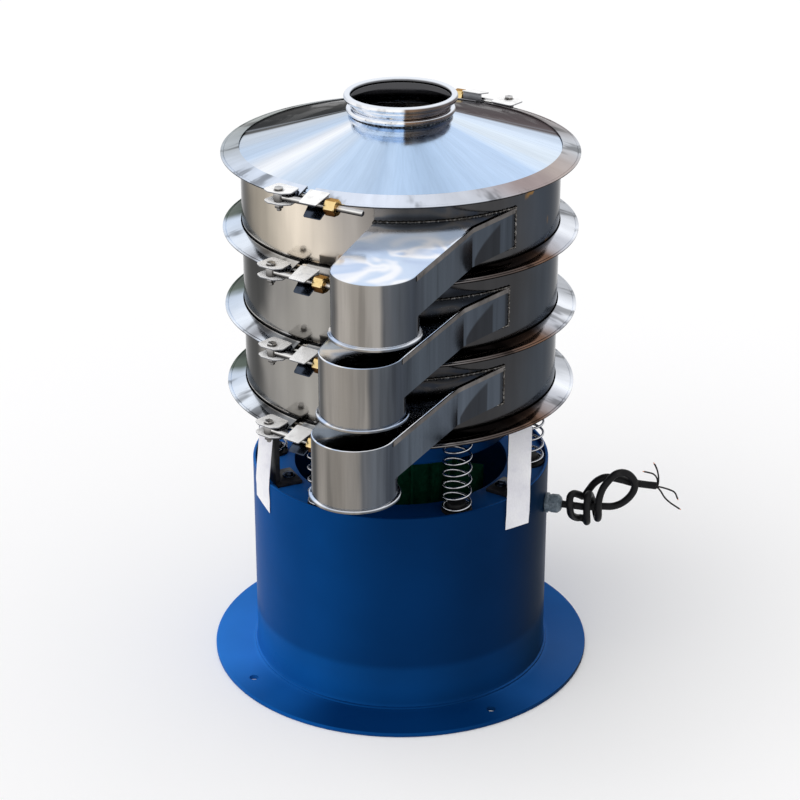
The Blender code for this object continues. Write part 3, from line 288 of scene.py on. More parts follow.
def sweep(path, radius, sides, capped=True, ripple=None):
    """A round tube along a path, with frames carried without twist."""
    path = [Vector(p) for p in path]
    rows = []
    side = None
    for i, here in enumerate(path):
        ahead = (path[min(i + 1, len(path) - 1)] - path[max(i - 1, 0)]).normalized()
        if side is None:
            guide = Vector((0, 0, 1)) if abs(ahead.z) < 0.9 else Vector((1, 0, 0))
            side = ahead.cross(guide).normalized()
        side = (side - ahead * side.dot(ahead)).normalized()
        other = ahead.cross(side)
        size = radius * (ripple(i, here) if ripple else 1.0)
        angles = [2 * math.pi * k / sides for k in range(sides)]
        rows.append([here + (side * math.cos(a) + other * math.sin(a)) * size for a in angles])
    return tube(rows, capped)


def weld_bead(path, radius, sides, beat, lumps, first=0, capped=False):
    """A tube that swells with a beat, as (size, pace), and with lumps, as (size, scale)."""

    def swell(i, p):
        return 1.0 + beat[0] * math.sin(i * beat[1] + first) + lumps[0] * noise.noise(p * lumps[1])

    return sweep(path, radius, sides, capped, swell)


def lying(profile, sides=24, wave=None):
    """A turned shape along +X, from (x, radius) points, closed at both ends."""
    rows = []
    for x, radius in profile:
        angles = [2 * math.pi * k / sides for k in range(sides)]
        rows.append([Vector((x, *spoke(radius + (wave(x, a) if wave else 0.0), a))) for a in angles])
    return tube(rows)


def run_of(line):
    return sum((b - a).length for a, b in zip(line, line[1:]))


def smooth_route(points, step):
    """Points about one step apart on a smooth curve through the given ones."""
    points = [Vector(p) for p in points]
    padded = [2 * points[0] - points[1]] + points + [2 * points[-1] - points[-2]]
    dense = []
    for i in range(1, len(padded) - 2):
        a, b, c, d = padded[i - 1 : i + 3]
        for k in range(12):
            t = k / 12
            square = (2 * a - 5 * b + 4 * c - d) * t**2
            cube = (3 * b - a - 3 * c + d) * t**3
            dense.append(0.5 * (2 * b + (c - a) * t + square + cube))
    dense.append(points[-1])
    total = run_of(dense)
    count = max(2, round(total / step))
    made, travelled, at = [dense[0]], 0.0, 1
    for a, b in zip(dense, dense[1:]):
        length = (b - a).length
        while at < count and travelled + length >= total * at / count:
            made.append(a + (b - a) * ((total * at / count - travelled) / length))
            at += 1
        travelled += length
    made.append(dense[-1])
    return made


# Material nodes


class Value:
    """A socket of a node tree; sums and products on it add the nodes for them."""

    def __init__(self, socket):
        self.socket, self.tree = socket, socket.id_data

    def maths(self, operation, other=0.0):
        return node(self.tree, "Math", {0: self, 1: other}, operation=operation)

    def vectors(self, operation, other=(0, 0, 0), output=0):
        return node(self.tree, "VectorMath", {0: self, 1: other}, output, operation=operation)

    def __add__(self, other):
        return self.maths("ADD", other)

    def __sub__(self, other):
        return self.maths("SUBTRACT", other)

    def __mul__(self, other):
        return self.maths("MULTIPLY", other)

    def __truediv__(self, other):
        return self.maths("DIVIDE", other)


def node(tree, kind, inputs=None, output=0, **properties):
    """A new node with plain or linked inputs, as the value of one of its outputs."""
    made = tree.nodes.new("ShaderNode" + kind)
    for key, value in properties.items():
        setattr(made, key, value)
    for key, value in (inputs or {}).items():
        if isinstance(value, Value):
            tree.links.new(value.socket, made.inputs[key])
        else:
            made.inputs[key].default_value = value
    return Value(made.outputs[output])


def mix(factor, first, second, blend="MIX"):
    tree = next(v.tree for v in (factor, first, second) if isinstance(v, Value))
    first, second = (v if isinstance(v, Value) else (*v, 1.0) for v in (first, second))
    return node(tree, "Mix", {0: factor, 6: first, 7: second}, 2, data_type="RGBA", blend_type=blend)


def ramp(factor, stops):
    """A colour ramp, in which a plain number stands for a grey."""
    made = node(factor.tree, "ValToRGB", {0: factor})
    band = made.socket.node.color_ramp
    band.interpolation = "EASE"
    while len(band.elements) < len(stops):
        band.elements.new(1.0)
    for element, (place, colour) in zip(band.elements, stops):
        element.position = place
        element.color = (*colour, 1.0) if isinstance(colour, tuple) else (colour, colour, colour, 1.0)
    return made


def tint(colour, share, factor, stops):
    """A colour multiplied by a ramp, in part."""
    return mix(share, colour, ramp(factor, stops), "MULTIPLY")


def spots(vector, scale, detail=3.0, roughness=0.5, stretch=(1, 1, 1), distortion=0.0):
    """Noise on a stretched vector, from 0 to 1."""
    placed = node(vector.tree, "Mapping", {"Vector": vector, "Scale": stretch})
    form = {"Scale": scale, "Detail": detail, "Roughness": roughness, "Distortion": distortion}
    return node(vector.tree, "TexNoise", {"Vector": placed, **form})


def split(vector):
    return [Value(socket) for socket in node(vector.tree, "SeparateXYZ", {0: vector}).socket.node.outputs]


def around(vector, height=0.0):
    """A vector that goes once round with the azimuth, so that noise on it makes radial or upright streaks."""
    unit = vector.vectors("MULTIPLY", (1, 1, 0)).vectors("NORMALIZE")
    return unit.vectors("ADD", vector.vectors("MULTIPLY", (0, 0, height)))


def azimuth_share(vector):
    """0 to 1 round the axis, with 0.5 at the front and 0.75 at +X."""
    x, y, _ = split(vector)
    return x.maths("ARCTAN2", y * -1.0) / (2 * math.pi) + 0.5


def axis_distance(vector):
    x, y, _ = split(vector)
    return (x * x + y * y).maths("SQRT")


def wandering(where, scale, reach):
    """The azimuth share with its borders pushed about by broad noise."""
    return azimuth_share(where) + (spots(where, scale, 2.0, 0.45) - 0.5) * reach


def bump(height, strength, distance, normal=None):
    inputs = {"Height": height, "Strength": strength, "Distance": distance * MM}
    if normal:
        inputs["Normal"] = normal
    return node(height.tree, "Bump", inputs)


def scratches(where, scale, strength, stretch):
    return bump(spots(where, scale, 2.0, 0.6, stretch), strength, 0.02)


def grade(factor, low, high, start=0.3, end=0.7):
    """A noise turned into a number between two limits."""
    return node(factor.tree, "MapRange", {0: factor, 1: start, 2: end, 3: low, 4: high})


def mottled(factor, colour, darker, lighter):
    """A colour that darkens and lightens with a noise."""
    dark = tuple(c * darker for c in colour)
    light = tuple(min(1.0, c * lighter) for c in colour)
    return ramp(factor, [(0.32, dark), (0.5, colour), (0.68, light)])


class Look:
    """A new material with plain values, and the place vector of its surface."""

    def __init__(self, name, colour, roughness, metallic=0.0, specular=0.5, sheen=0.0):
        self.material = bpy.data.materials.new(name)
        self.material.use_nodes = True
        self.tree = self.material.node_tree
        self.sockets = self.tree.nodes["Principled BSDF"].inputs
        plain = {"Base Color": (*colour, 1.0), "Roughness": roughness, "Metallic": metallic,
                 "Specular IOR Level": specular, "Sheen Weight": sheen}
        for key, value in plain.items():
            self.sockets[key].default_value = value
        self.where = node(self.tree, "TexCoord", output="Object")

    @property
    def upward(self):
        """-1 where the surface looks down, 1 where it looks up."""
        return split(node(self.tree, "NewGeometry", output="Normal"))[2]

    @property
    def facing(self):
        """The same from 0 to 1."""
        return self.upward * 0.5 + 0.5

    def drive(self, colour, roughness, normal=None, metallic=None):
        """Links the values to the shader and returns the material."""
        links = {"Base Color": colour, "Roughness": roughness, "Normal": normal, "Metallic": metallic}
        if self.sockets["Metallic"].default_value == 1.0:
            # a metal's edge keeps most of its own tone instead of turning white
            links["Specular Tint"] = mix(0.5, WHITE, colour)
        for key, value in links.items():
            if value:
                self.tree.links.new(value.socket, self.sockets[key])
        return self.material


def steel(name, roughness=0.1, colour=(0.72, 0.72, 0.73), specular=0.5):
    return Look(name, colour, roughness, 1.0, specular)


# Painted reflections: what the polished sheet mirrors round the machine, painted into its colour by azimuth
# in degrees
BACK_LEFT = [(-180, 0.40), (-150, (0.18, 0.19, 0.20)), (-122, (0.46, 0.45, 0.43))]
BACK_RIGHT = [(112, (0.42, 0.41, 0.40)), (146, (0.20, 0.20, 0.21))]
UPPER_WALL = BACK_LEFT + [
    (-94, 0.012), (-76, (0.05, 0.05, 0.048)), (-56, (0.40, 0.36, 0.30)),
    (-38, (0.80, 0.71, 0.59)), (-18, (0.40, 0.37, 0.34)), (2, (0.07, 0.066, 0.062)),
    (40, (0.052, 0.052, 0.054)), (62, (0.056, 0.066, 0.082)), (84, (0.05, 0.055, 0.066)),
] + BACK_RIGHT
LOWER_WALL = BACK_LEFT + [
    (-94, 0.012), (-78, (0.04, 0.041, 0.04)), (-60, (0.075, 0.075, 0.073)),
    (-52, (0.26, 0.25, 0.235)), (-40, (0.34, 0.325, 0.30)), (-22, (0.25, 0.24, 0.22)),
    (-2, (0.045, 0.042, 0.04)), (40, (0.042, 0.042, 0.044)), (62, (0.058, 0.068, 0.082)),
    (84, (0.06, 0.066, 0.078)),
] + BACK_RIGHT
LID_SHEET = [
    (-180, (0.30, 0.32, 0.36)), (-140, 0.035), (-104, (0.03, 0.032, 0.034)),
    (-95, (0.62, 0.68, 0.76)), (-72, (0.56, 0.68, 0.85)), (-58, (0.88, 0.91, 0.97)),
    (-44, (0.66, 0.77, 0.92)), (-24, (0.52, 0.66, 0.86)), (10, (0.45, 0.60, 0.82)),
    (50, (0.52, 0.66, 0.87)), (68, (0.76, 0.85, 0.95)), (92, (0.66, 0.76, 0.90)),
    (104, (0.10, 0.08, 0.085)), (140, (0.045, 0.036, 0.04)),
]
LID_BAND = [
    (-180, (0.52, 0.54, 0.58)), (-120, (0.30, 0.33, 0.32)), (-88, (0.48, 0.52, 0.56)),
    (-60, (0.66, 0.73, 0.85)), (-10, (0.72, 0.78, 0.90)), (24, (0.58, 0.61, 0.68)),
    (44, (0.36, 0.30, 0.30)), (62, (0.46, 0.40, 0.38)), (86, (0.62, 0.65, 0.70)),
    (120, (0.24, 0.21, 0.21)),
]
FRAME_BAND = [
    (-180, (0.60, 0.64, 0.70)), (-112, (0.04, 0.055, 0.045)), (-97, (0.12, 0.15, 0.13)),
    (-86, (0.60, 0.68, 0.80)), (-66, (0.80, 0.86, 0.95)), (-54, (0.30, 0.31, 0.34)),
    (-46, (0.74, 0.80, 0.90)), (-16, (0.56, 0.60, 0.68)), (8, (0.20, 0.19, 0.19)),
    (34, (0.08, 0.065, 0.06)), (52, (0.17, 0.10, 0.07)), (66, (0.56, 0.58, 0.64)),
    (78, (0.88, 0.91, 0.97)), (94, (0.50, 0.52, 0.56)), (140, (0.34, 0.36, 0.38)),
]
COLLAR = [
    (-180, (0.30, 0.31, 0.33)), (-120, (0.22, 0.23, 0.25)), (-86, (0.55, 0.60, 0.68)),
    (-52, (0.92, 0.93, 0.96)), (2, WHITE), (5, (0.22, 0.14, 0.09)), (30, (0.085, 0.07, 0.065)),
    (66, (0.13, 0.11, 0.11)), (86, (0.40, 0.38, 0.38)), (130, (0.24, 0.24, 0.25)),
]
# Painted reflections: what an outlet's upright walls mirror, from its left edge to the drum
OUTLET_WALL = [
    (0.0, 0.05), (0.022, 0.12), (0.05, (0.36, 0.335, 0.305)),
    (0.13, (0.29, 0.268, 0.24)), (0.215, (0.34, 0.32, 0.295)), (0.243, (0.11, 0.115, 0.125)),
    (0.29, (0.085, 0.095, 0.11)), (0.36, (0.048, 0.056, 0.07)), (0.46, (0.070, 0.085, 0.105)),
    (0.60, (0.060, 0.072, 0.090)), (1.0, (0.042, 0.050, 0.062)),
]
# Painted reflection of the sky on an outlet's top, by a swirling noise
OUTLET_TOP = [
    (0.30, (0.50, 0.61, 0.82)), (0.44, (0.60, 0.72, 0.91)), (0.52, (0.93, 0.95, 1.0)),
    (0.62, (0.54, 0.66, 0.88)), (0.75, (0.68, 0.78, 0.94)),
]
OUTLET_SPAN = 260
# Painted light and shade on the blue paint by azimuth in degrees: lighter on the left, darker towards the
# front and right; BLUE_LEVEL is for faces that look up
BLUE_WALL = [
    (-180, (0.003, 0.050, 0.19)), (-100, (0.006, 0.068, 0.25)), (-74, (0.006, 0.070, 0.26)),
    (-40, (0.002, 0.046, 0.185)), (0, (0.0012, 0.026, 0.105)), (36, (0.0012, 0.018, 0.070)),
    (72, (0.003, 0.013, 0.034)), (110, (0.003, 0.042, 0.16)),
]
BLUE_LEVEL = [
    (-180, (0.010, 0.10, 0.34)), (-78, (0.026, 0.19, 0.62)), (-46, (0.006, 0.085, 0.32)),
    (-20, (0.0008, 0.026, 0.115)), (24, (0.0008, 0.026, 0.110)), (52, (0.010, 0.075, 0.26)),
    (78, (0.026, 0.105, 0.32)), (120, (0.010, 0.10, 0.34)),
]


def turned(share, table):
    """A ramp by azimuth, closed with its first colour."""
    whole_turn = table + [(180, table[0][1])]
    return ramp(share, [((azimuth + 180) / 360, colour) for azimuth, colour in whole_turn])


def make_wall_steel():
    look = steel("steel_wall", 0.12)
    where = look.where
    height = split(where)[2]
    share = azimuth_share(where)
    at = wandering(where, 8.0, 0.07)
    # painted reflections by azimuth: one table for the two lower drums, one for the upper drum, with painted
    # upright streaks over them
    colour = mix(ramp(height, [(0.602, 0.0), (0.606, 1.0)]), turned(at, LOWER_WALL), turned(at, UPPER_WALL))
    colour = tint(colour, 0.55, spots(around(where, 0.6), 7.0), [(0.3, 0.82), (0.7, 1.18)])
    seam = ramp(share, [(0.3788, 0.0), (0.3797, 0.55), (0.3806, 0.0)])
    below_it = ramp(height, [(0.592, 1.0), (0.596, 0.0)])
    colour = mix(seam * below_it, colour, (0.03, 0.03, 0.03))
    # painted shade and reflection: over each clamp ring the wall is painted dark where it mirrors the groove,
    # with a painted bright line above on the lit left side
    gaps = [(height - (RINGS[ring] + 8.6) * MM).maths("ABSOLUTE") for ring in "bcd"]
    gap = gaps[0].maths("MINIMUM", gaps[1]).maths("MINIMUM", gaps[2]) * 50.0
    colour = mix(ramp(gap, [(0.08, 0.9), (0.11, 0.0)]), colour, (0.006, 0.006, 0.006))
    lit_side = ramp(share, [(0.20, 0.0), (0.28, 0.8), (0.44, 0.7), (0.50, 0.0)])
    line = ramp(gap, [(0.10, 0.0), (0.125, 1.0), (0.16, 1.0), (0.19, 0.0)])
    colour = mix(line * lit_side, colour, (0.80, 0.72, 0.62))
    # painted golden glints, reflections high on the right of the upper drum
    warm = ramp(share, [(0.60, 0.0), (0.625, 1.0), (0.66, 1.0), (0.69, 0.0)])
    glint = ramp(spots(where, 30.0, 2.0, 0.5, (1, 1, 0.6)), [(0.58, 0.0), (0.64, 1.0)])
    above_it = ramp(height, [(0.604, 0.0), (0.608, 0.7)])
    colour = mix(warm * glint * above_it, colour, (0.30, 0.16, 0.04))
    rough = grade(spots(where, 30.0), 0.09, 0.15)
    return look.drive(colour, rough, scratches(where, 200.0, 0.02, (1, 1, 0.2)))


def make_lid_steel():
    look = steel("steel_lid", 0.13, specular=0.0)
    where = look.where
    share = azimuth_share(where)
    broad = spots(around(where), 3.2, 2.0)
    middling = spots(around(where), 9.0, 2.0)
    fine = spots(around(where, 2.0), 40.0, 2.0)
    # painted reflection of the sky and surroundings by azimuth, with painted radial streaks
    colour = turned(share + (middling - 0.5) * 0.05, LID_SHEET)
    colour = tint(colour, 0.55, broad, [(0.32, 0.86), (0.68, 1.16)])
    colour = tint(colour, 0.25, fine, [(0.35, 0.88), (0.65, 1.08)])
    # painted dark reflection: the two sectors at the back are made almost non-metallic, so they mirror
    # nothing but a few streaks
    sectors = [(0.06, 1.0), (0.11, 0.12), (0.205, 0.08), (0.232, 1.0)]
    sectors += [(0.765, 1.0), (0.80, 0.16), (0.88, 0.2), (0.93, 1.0)]
    streaks = ramp(spots(where, 14.0, 3.0, 0.6, distortion=0.8), [(0.50, 0.0), (0.60, 0.35)])
    shine = (ramp(share, sectors) + streaks).maths("MINIMUM", 1.0)
    return look.drive(colour, grade(middling, 0.10, 0.18), bump(middling, 0.05, 1.0), shine)


def make_ring_steel():
    look = steel("steel_ring", 0.12, specular=0.0)
    where = look.where
    at = wandering(where, 16.0, 0.05)
    on_lid = ramp(split(where)[2], [(0.66, 0.0), (0.68, 1.0)])
    # painted reflections by azimuth, on the lid's edge ring and on the clamp bands, darkened in painted
    # reflection patches
    colour = mix(on_lid, turned(at, FRAME_BAND), turned(at, LID_BAND))
    painted_reflection_patches = spots(around(where, 6.0), 6.0, 3.0, 0.55)
    colour = tint(colour, 0.8, painted_reflection_patches, [(0.36, 0.30), (0.47, 1.0), (0.66, 1.12)])
    # painted shade and reflection: dark where the band looks down, bright where it looks up, and the upright
    # faces made less metallic
    colour = tint(colour, 1.0, look.facing, [(0.46, 0.06), (0.68, 1.0)])
    edge = ramp(look.facing, [(0.30, 1.0), (0.42, 0.2), (0.54, 0.2), (0.62, 1.0)])
    grain = scratches(where, 300.0, 0.03, (1, 1, 1))
    return look.drive(colour, grade(painted_reflection_patches, 0.09, 0.16), grain, edge)


def root_shade(where, size):
    """Painted shade: the dark corner that the chute's last wall mirrors, below a slanting edge."""
    bend, root = (turn(SPOUT_AZIMUTHS[size]) @ polar(*place) for place in (CHUTE_BEND, CHUTE_RIGHT))
    along = (root - bend) / (root - bend).length_squared / MM
    moved = where.vectors("SUBTRACT", tuple(bend * MM))
    share = moved.vectors("DOT_PRODUCT", tuple(along), "Value")
    height = (split(where)[2] - spout_heights(size)[1] * MM) / (CHUTE_DEPTH * MM)
    edge = share.maths("SQRT") * 1.05 - 0.06
    below = grade(edge - height, 0.0, 1.0, -0.02, 0.06)
    inside = [(0.03, 0.0), (0.07, 1.0), (0.62, 0.85), (0.66, 0.0), (0.90, 0.0), (0.94, 0.8)]
    return below * ramp(share, inside) * 0.72


def make_spout_steel(size):
    """Painted reflections: the spout's top is painted with the sky it mirrors in swirls and with a painted
    shade next to the drum, its walls with the ground they mirror in upright bands and with the painted shade
    of the chute's root.
    """
    # how bright the painted reflections are on each outlet's pipe and chute, and how much the upper outlet's
    # level top away from the drum is made less metallic
    gains = {"upper": (1.0, 1.0, 0.6), "middle": (0.80, 1.0, 0.0), "lower": (0.70, 1.35, 0.0)}
    pipe_gain, chute_gain, dulled = gains[size]
    look = steel("steel_spout_" + size, 0.11)
    where = look.where
    left_edge = polar(PIPE_REACH, SPOUT_AZIMUTHS[size]).x - 52
    across = (split(where)[0] - left_edge * MM) / (OUTLET_SPAN * MM)
    walls = ramp(across + (spots(where, 12.0, 2.0) - 0.5) * 0.02, OUTLET_WALL)
    upright = spots(where, 60.0, 3.0, 0.6, (1, 1, 0.05))
    walls = tint(walls, 0.75, upright, [(0.32, 0.66), (0.5, 1.0), (0.68, 1.25)])
    walls = tint(walls, 1.0, across, [(0.22, pipe_gain), (0.25, 1.0)])
    walls = tint(walls, 1.0, across, [(0.25, 1.0), (0.30, chute_gain)])
    walls = mix(root_shade(where, size), walls, (0.014, 0.012, 0.011))
    swirl = spots(where, 9.0, 2.0, 0.45, distortion=1.4)
    reach = axis_distance(where)
    # painted shade on the top next to the drum
    by_drum = [(0.202, (0.5, 0.48, 0.46)), (0.222, 1.0)]
    sky = tint(ramp(swirl, OUTLET_TOP), 1.0, reach + (swirl - 0.5) * 0.05, by_drum)
    colour = mix(ramp(look.upward, [(0.35, 0.0), (0.8, 1.0)]), walls, sky)
    level_top = ramp(look.upward, [(0.90, 0.0), (0.96, 1.0)])
    mirror = level_top * ramp(reach, [(0.228, 0.0), (0.242, dulled)]) * -1.0 + 1.0
    return look.drive(colour, grade(spots(where, 25.0), 0.09, 0.15), bump(swirl, 0.08, 2.0), mirror)


def make_collar_steel():
    look = steel("steel_collar", 0.12)
    where = look.where
    blotch = spots(around(where, 14.0), 5.0, 2.0)
    # painted reflections by azimuth
    sides = turned(azimuth_share(where), COLLAR)
    colour = tint(sides, 0.6, blotch, [(0.36, 0.6), (0.5, 1.0), (0.7, 1.1)])
    dots = node(look.tree, "TexVoronoi", {"Vector": around(where, 16.0), "Scale": 16.0}, "Distance")
    above_foot = (split(where)[2] - (NECK_FOOT + 0.8) * MM) * 40.0
    low_band = ramp(above_foot, [(0.0, 1.0), (0.26, 1.0), (0.34, 0.0)])
    colour = tint(colour, low_band * 0.7, dots, [(0.12, 0.12), (0.26, 1.0)])
    # painted reflection and shade: the top of the rolled rim is painted with the sky it mirrors all round,
    # the bore painted dark where it mirrors the dark inside
    colour = mix(ramp(look.upward, [(0.45, 0.0), (0.8, 1.0)]), colour, (0.84, 0.88, 0.95))
    bore = ramp(axis_distance(where) * 10.0, [(0.618, 1.0), (0.628, 0.0)])
    return look.drive(mix(bore, colour, (0.075, 0.075, 0.08)), grade(blotch, 0.09, 0.16))


def make_plain_steel(name, colour, roughness, scale, spread, strength):
    """Plain metal: one tone with its own grain and a few darker stains."""
    look = steel(name, roughness, colour)
    stain = spots(look.where, scale, 4.0, 0.6)
    grain = bump(spots(look.where, scale * 6, 2.0), strength, 0.05)
    rough = grade(stain, roughness * 0.8, roughness * 1.3)
    return look.drive(mottled(stain, colour, 1 - spread, 1 + spread), rough, grain)


def make_hardware(name, colour, roughness, stops, metallic=1.0):
    """Small bright parts with painted reflection and shade: bright where they look up to the sky, dark where
    they look down to the ground.
    """
    look = Look(name, colour, roughness, metallic)
    stain = spots(look.where, 90.0, 3.0, 0.55)
    tone = tint(ramp(look.facing, stops), 0.5, stain, [(0.34, 0.72), (0.5, 1.0), (0.66, 1.12)])
    return look.drive(tone, grade(stain, roughness * 0.8, roughness * 1.3))


def make_weld():
    look = steel("weld_bead", 0.35, (0.16, 0.15, 0.15))
    lumps = spots(look.where, 420.0, 3.0, 0.6)
    tone = ramp(lumps, [(0.3, 0.02), (0.5, (0.07, 0.065, 0.06)), (0.68, (0.32, 0.31, 0.30))])
    return look.drive(tone, grade(lumps, 0.25, 0.5), bump(lumps, 0.7, 0.6))


# Paint, rubber, paper


def make_blue_paint():
    look = Look("blue_paint", (0.003, 0.05, 0.19), 0.3, specular=0.01)
    where = look.where
    at = wandering(where, 4.0, 0.03)
    # painted reflection: the wall is painted lighter in its lowest part, where it mirrors the painted flange
    foot = [(0.030, (1.9, 1.75, 1.7)), (0.060, (1.7, 1.55, 1.5)), (0.072, 1.0)]
    wall = tint(turned(at, BLUE_WALL), 1.0, split(where)[2], foot)
    # painted light: faces that look up take the lighter level table, the upright wall the darker one
    tone = mix(ramp(look.upward, [(0.5, 0.0), (0.9, 1.0)]), wall, turned(at, BLUE_LEVEL))
    cloud = spots(where, 9.0)
    tone = tint(tone, 0.5, cloud, [(0.3, 0.88), (0.7, 1.12)])
    peel = bump(spots(where, 95.0, 2.0, 0.45), 0.06, 0.3)
    peel = bump(spots(where, 8.0, 2.0), 0.08, 2.0, peel)
    return look.drive(tone, grade(cloud, 0.26, 0.36), peel)


def make_paint(name, colour, roughness, worn=(0.3, 0.3, 0.3), specular=0.15):
    """Paint or plastic with specks and a few chips in which the ground shows."""
    look = Look(name, colour, roughness, specular=specular)
    speck = spots(look.where, 120.0, 4.0, 0.6)
    chips = ramp(spots(look.where, 380.0, 2.0, 0.7), [(0.72, 0.0), (0.76, 1.0)])
    tone = mix(chips * 0.5, mottled(speck, colour, 0.7, 1.35), worn)
    rough = grade(speck, roughness * 0.8, roughness * 1.2)
    return look.drive(tone, rough, bump(spots(look.where, 300.0), 0.15, 0.15))


def make_rubber():
    look = Look("black_rubber", (0.006, 0.006, 0.007), 0.5, specular=0.15)
    grime = spots(look.where, 90.0, 4.0, 0.6)
    tones = [(0.35, (0.005, 0.005, 0.006)), (0.55, (0.008, 0.008, 0.009)), (0.7, (0.018, 0.017, 0.017))]
    grain = bump(spots(look.where, 900.0, 2.0), 0.2, 0.08)
    return look.drive(ramp(grime, tones), grade(grime, 0.38, 0.62), grain)


def make_tag_paper():
    look = Look("tag_paper", (0.82, 0.82, 0.86), 0.75, sheen=0.05)
    fibre = spots(look.where, 700.0, 4.0, 0.7, (1, 1, 0.35))
    cloud = spots(look.where, 22.0)
    tone = ramp(cloud, [(0.35, (0.70, 0.70, 0.76)), (0.5, (0.82, 0.82, 0.86)), (0.65, (0.88, 0.88, 0.90))])
    tone = tint(tone, 0.25, fibre, [(0.4, 0.86), (0.6, 1.05)])
    return look.drive(tone, grade(fibre, 0.65, 0.85), bump(fibre, 0.25, 0.08))


def make_gland_plastic():
    look = Look("gland_plastic", (0.12, 0.16, 0.19), 0.42)
    speck = spots(look.where, 240.0)
    tone = ramp(speck, [(0.35, (0.085, 0.115, 0.14)), (0.65, (0.16, 0.20, 0.235))])
    return look.drive(tone, grade(speck, 0.36, 0.5), bump(speck, 0.12, 0.08))


# Painted shade and reflection on small parts: how bright they are, from those faces that look down to those
# that look up
CLAMP_TONES = [
    (0.10, (0.03, 0.03, 0.035)), (0.42, (0.10, 0.10, 0.11)), (0.56, (0.34, 0.35, 0.37)),
    (0.72, WHITE),
]
ZINC_TONES = [
    (0.20, (0.03, 0.03, 0.035)), (0.45, (0.11, 0.105, 0.10)), (0.58, (0.42, 0.41, 0.40)),
    (0.70, (0.95, 0.94, 0.92)), (0.90, (0.55, 0.55, 0.56)),
]
SPRING_TONES = [
    (0.25, (0.02, 0.02, 0.025)), (0.5, (0.10, 0.10, 0.115)), (0.70, (0.75, 0.76, 0.80)),
    (0.9, (0.30, 0.31, 0.34)),
]
BRASS_TONES = [
    (0.2, (0.06, 0.025, 0.008)), (0.42, (0.22, 0.11, 0.03)), (0.52, (0.62, 0.38, 0.13)),
    (0.66, (0.98, 0.78, 0.42)), (0.80, (0.90, 0.66, 0.30)), (0.95, (0.45, 0.26, 0.08)),
]

WALL_STEEL = make_wall_steel()
LID_STEEL = make_lid_steel()
RING_STEEL = make_ring_steel()
COLLAR_STEEL = make_collar_steel()
SPOUT_STEEL = {size: make_spout_steel(size) for size in SPOUT_AZIMUTHS}
CLAMP_STEEL = make_hardware("clamp_steel", (0.8, 0.8, 0.8), 0.38, CLAMP_TONES, 0.12)
# a dark steel: on the clamps' lower flaps it is painted shade, where they mirror the upper flaps' undersides;
# the brackets' bolts are made of it too
SHADED_STEEL = make_plain_steel("shaded_steel", (0.055, 0.07, 0.10), 0.2, 60.0, 0.3, 0.05)
HEM_STEEL = make_plain_steel("hem_steel", (0.13, 0.122, 0.118), 0.16, 40.0, 0.35, 0.05)
ZINC_STEEL = make_hardware("zinc_steel", (0.7, 0.7, 0.7), 0.2, ZINC_TONES)
SPRING_STEEL = make_hardware("spring_steel", (0.5, 0.5, 0.5), 0.22, SPRING_TONES)
CAST_STEEL = make_plain_steel("cast_steel", (0.03, 0.03, 0.032), 0.5, 90.0, 0.3, 0.5)
BRASS = make_hardware("brass", (0.8, 0.6, 0.3), 0.22, BRASS_TONES)
COPPER = make_plain_steel("copper_strands", (0.72, 0.30, 0.16), 0.35, 500.0, 0.3, 0.2)
HIDDEN_STEEL = make_plain_steel("hidden_steel", (0.62, 0.62, 0.63), 0.2, 40.0, 0.2, 0.05)
WELD = make_weld()
BLUE = make_blue_paint()
BLACK_PAINT = make_paint("black_paint", (0.018, 0.018, 0.02), 0.4)
GREEN_PAINT = make_paint("green_paint", (0.004, 0.038, 0.020), 0.38, (0.05, 0.05, 0.05), 0.0)
RUBBER = make_rubber()
CORE_BLACK = make_paint("core_plastic", (0.012, 0.011, 0.011), 0.45, (0.05, 0.05, 0.05))
PAPER = make_tag_paper()
GLAND = make_gland_plastic()
SEAL = make_paint("white_seal", (0.70, 0.70, 0.67), 0.55, (0.5, 0.5, 0.48))

# Camera and cable

lens = bpy.data.cameras.new("camera")
lens.lens, lens.sensor_width = 100.125, 36.0
camera = placed_object("camera", lens)
camera.location = (-0.0009, -2.6536, 1.5601)
camera.rotation_euler = (math.radians(65.61), 0, 0)
bpy.context.scene.camera = camera

GLAND_AZIMUTH, GLAND_HEIGHT, GLAND_MOUTH = 76.6, 230.0, 217.6
CABLE_RADIUS, CORE_RADIUS = 4.8, 1.1
CABLE_ROUTE = [
    (231, -54, 229), (245, -53, 227), (263, -53, 228), (278, -53, 228),
    (290, -55, 234), (300, -57, 245), (305, -58, 257), (304, -59, 268), (297, -59, 277), (288, -59, 280),
    (279, -60, 278), (271, -61, 270), (264, -62, 260), (260, -63, 249), (258, -64, 236), (259, -61, 220),
    (259, -53, 210), (258, -44, 211), (255, -42, 223), (251, -44, 235), (247, -53, 246), (244, -62, 245),
    (243, -64, 230), (244, -61, 215), (245, -53, 205), (243, -45, 205), (238, -43, 206), (232, -45, 207),
    (224, -55, 217), (221, -63, 233), (221, -62, 246), (226, -56, 248), (234, -47, 242), (241, -40, 236),
    (247, -40, 245), (253, -43, 256), (261, -47, 265), (269, -50, 269), (279, -51, 268), (291, -51, 265),
    (301, -49, 261), (312, -49, 259), (322, -50, 258), (334, -53, 258),
]
CORE_ROUTES = [
    [(336, -54, 260), (336, -56, 270), (334, -58, 281), (331, -58, 289), (328, -58, 294)],
    [(336, -51, 259), (335, -48, 266), (331, -46, 271), (325, -45, 273), (316, -45, 275)],
    [(336, -51, 256), (342, -50, 254), (351, -50, 251), (359, -49, 246), (364, -49, 235)],
    [(336, -55, 256), (340, -56, 251), (345, -57, 243), (353, -57, 235), (367, -57, 225)],
]
SHEATH_END = [(0.4, 2.6), (0.5, 3.6), (1.9, 3.8), (2.5, 3.2), (2.6, 1.0)]


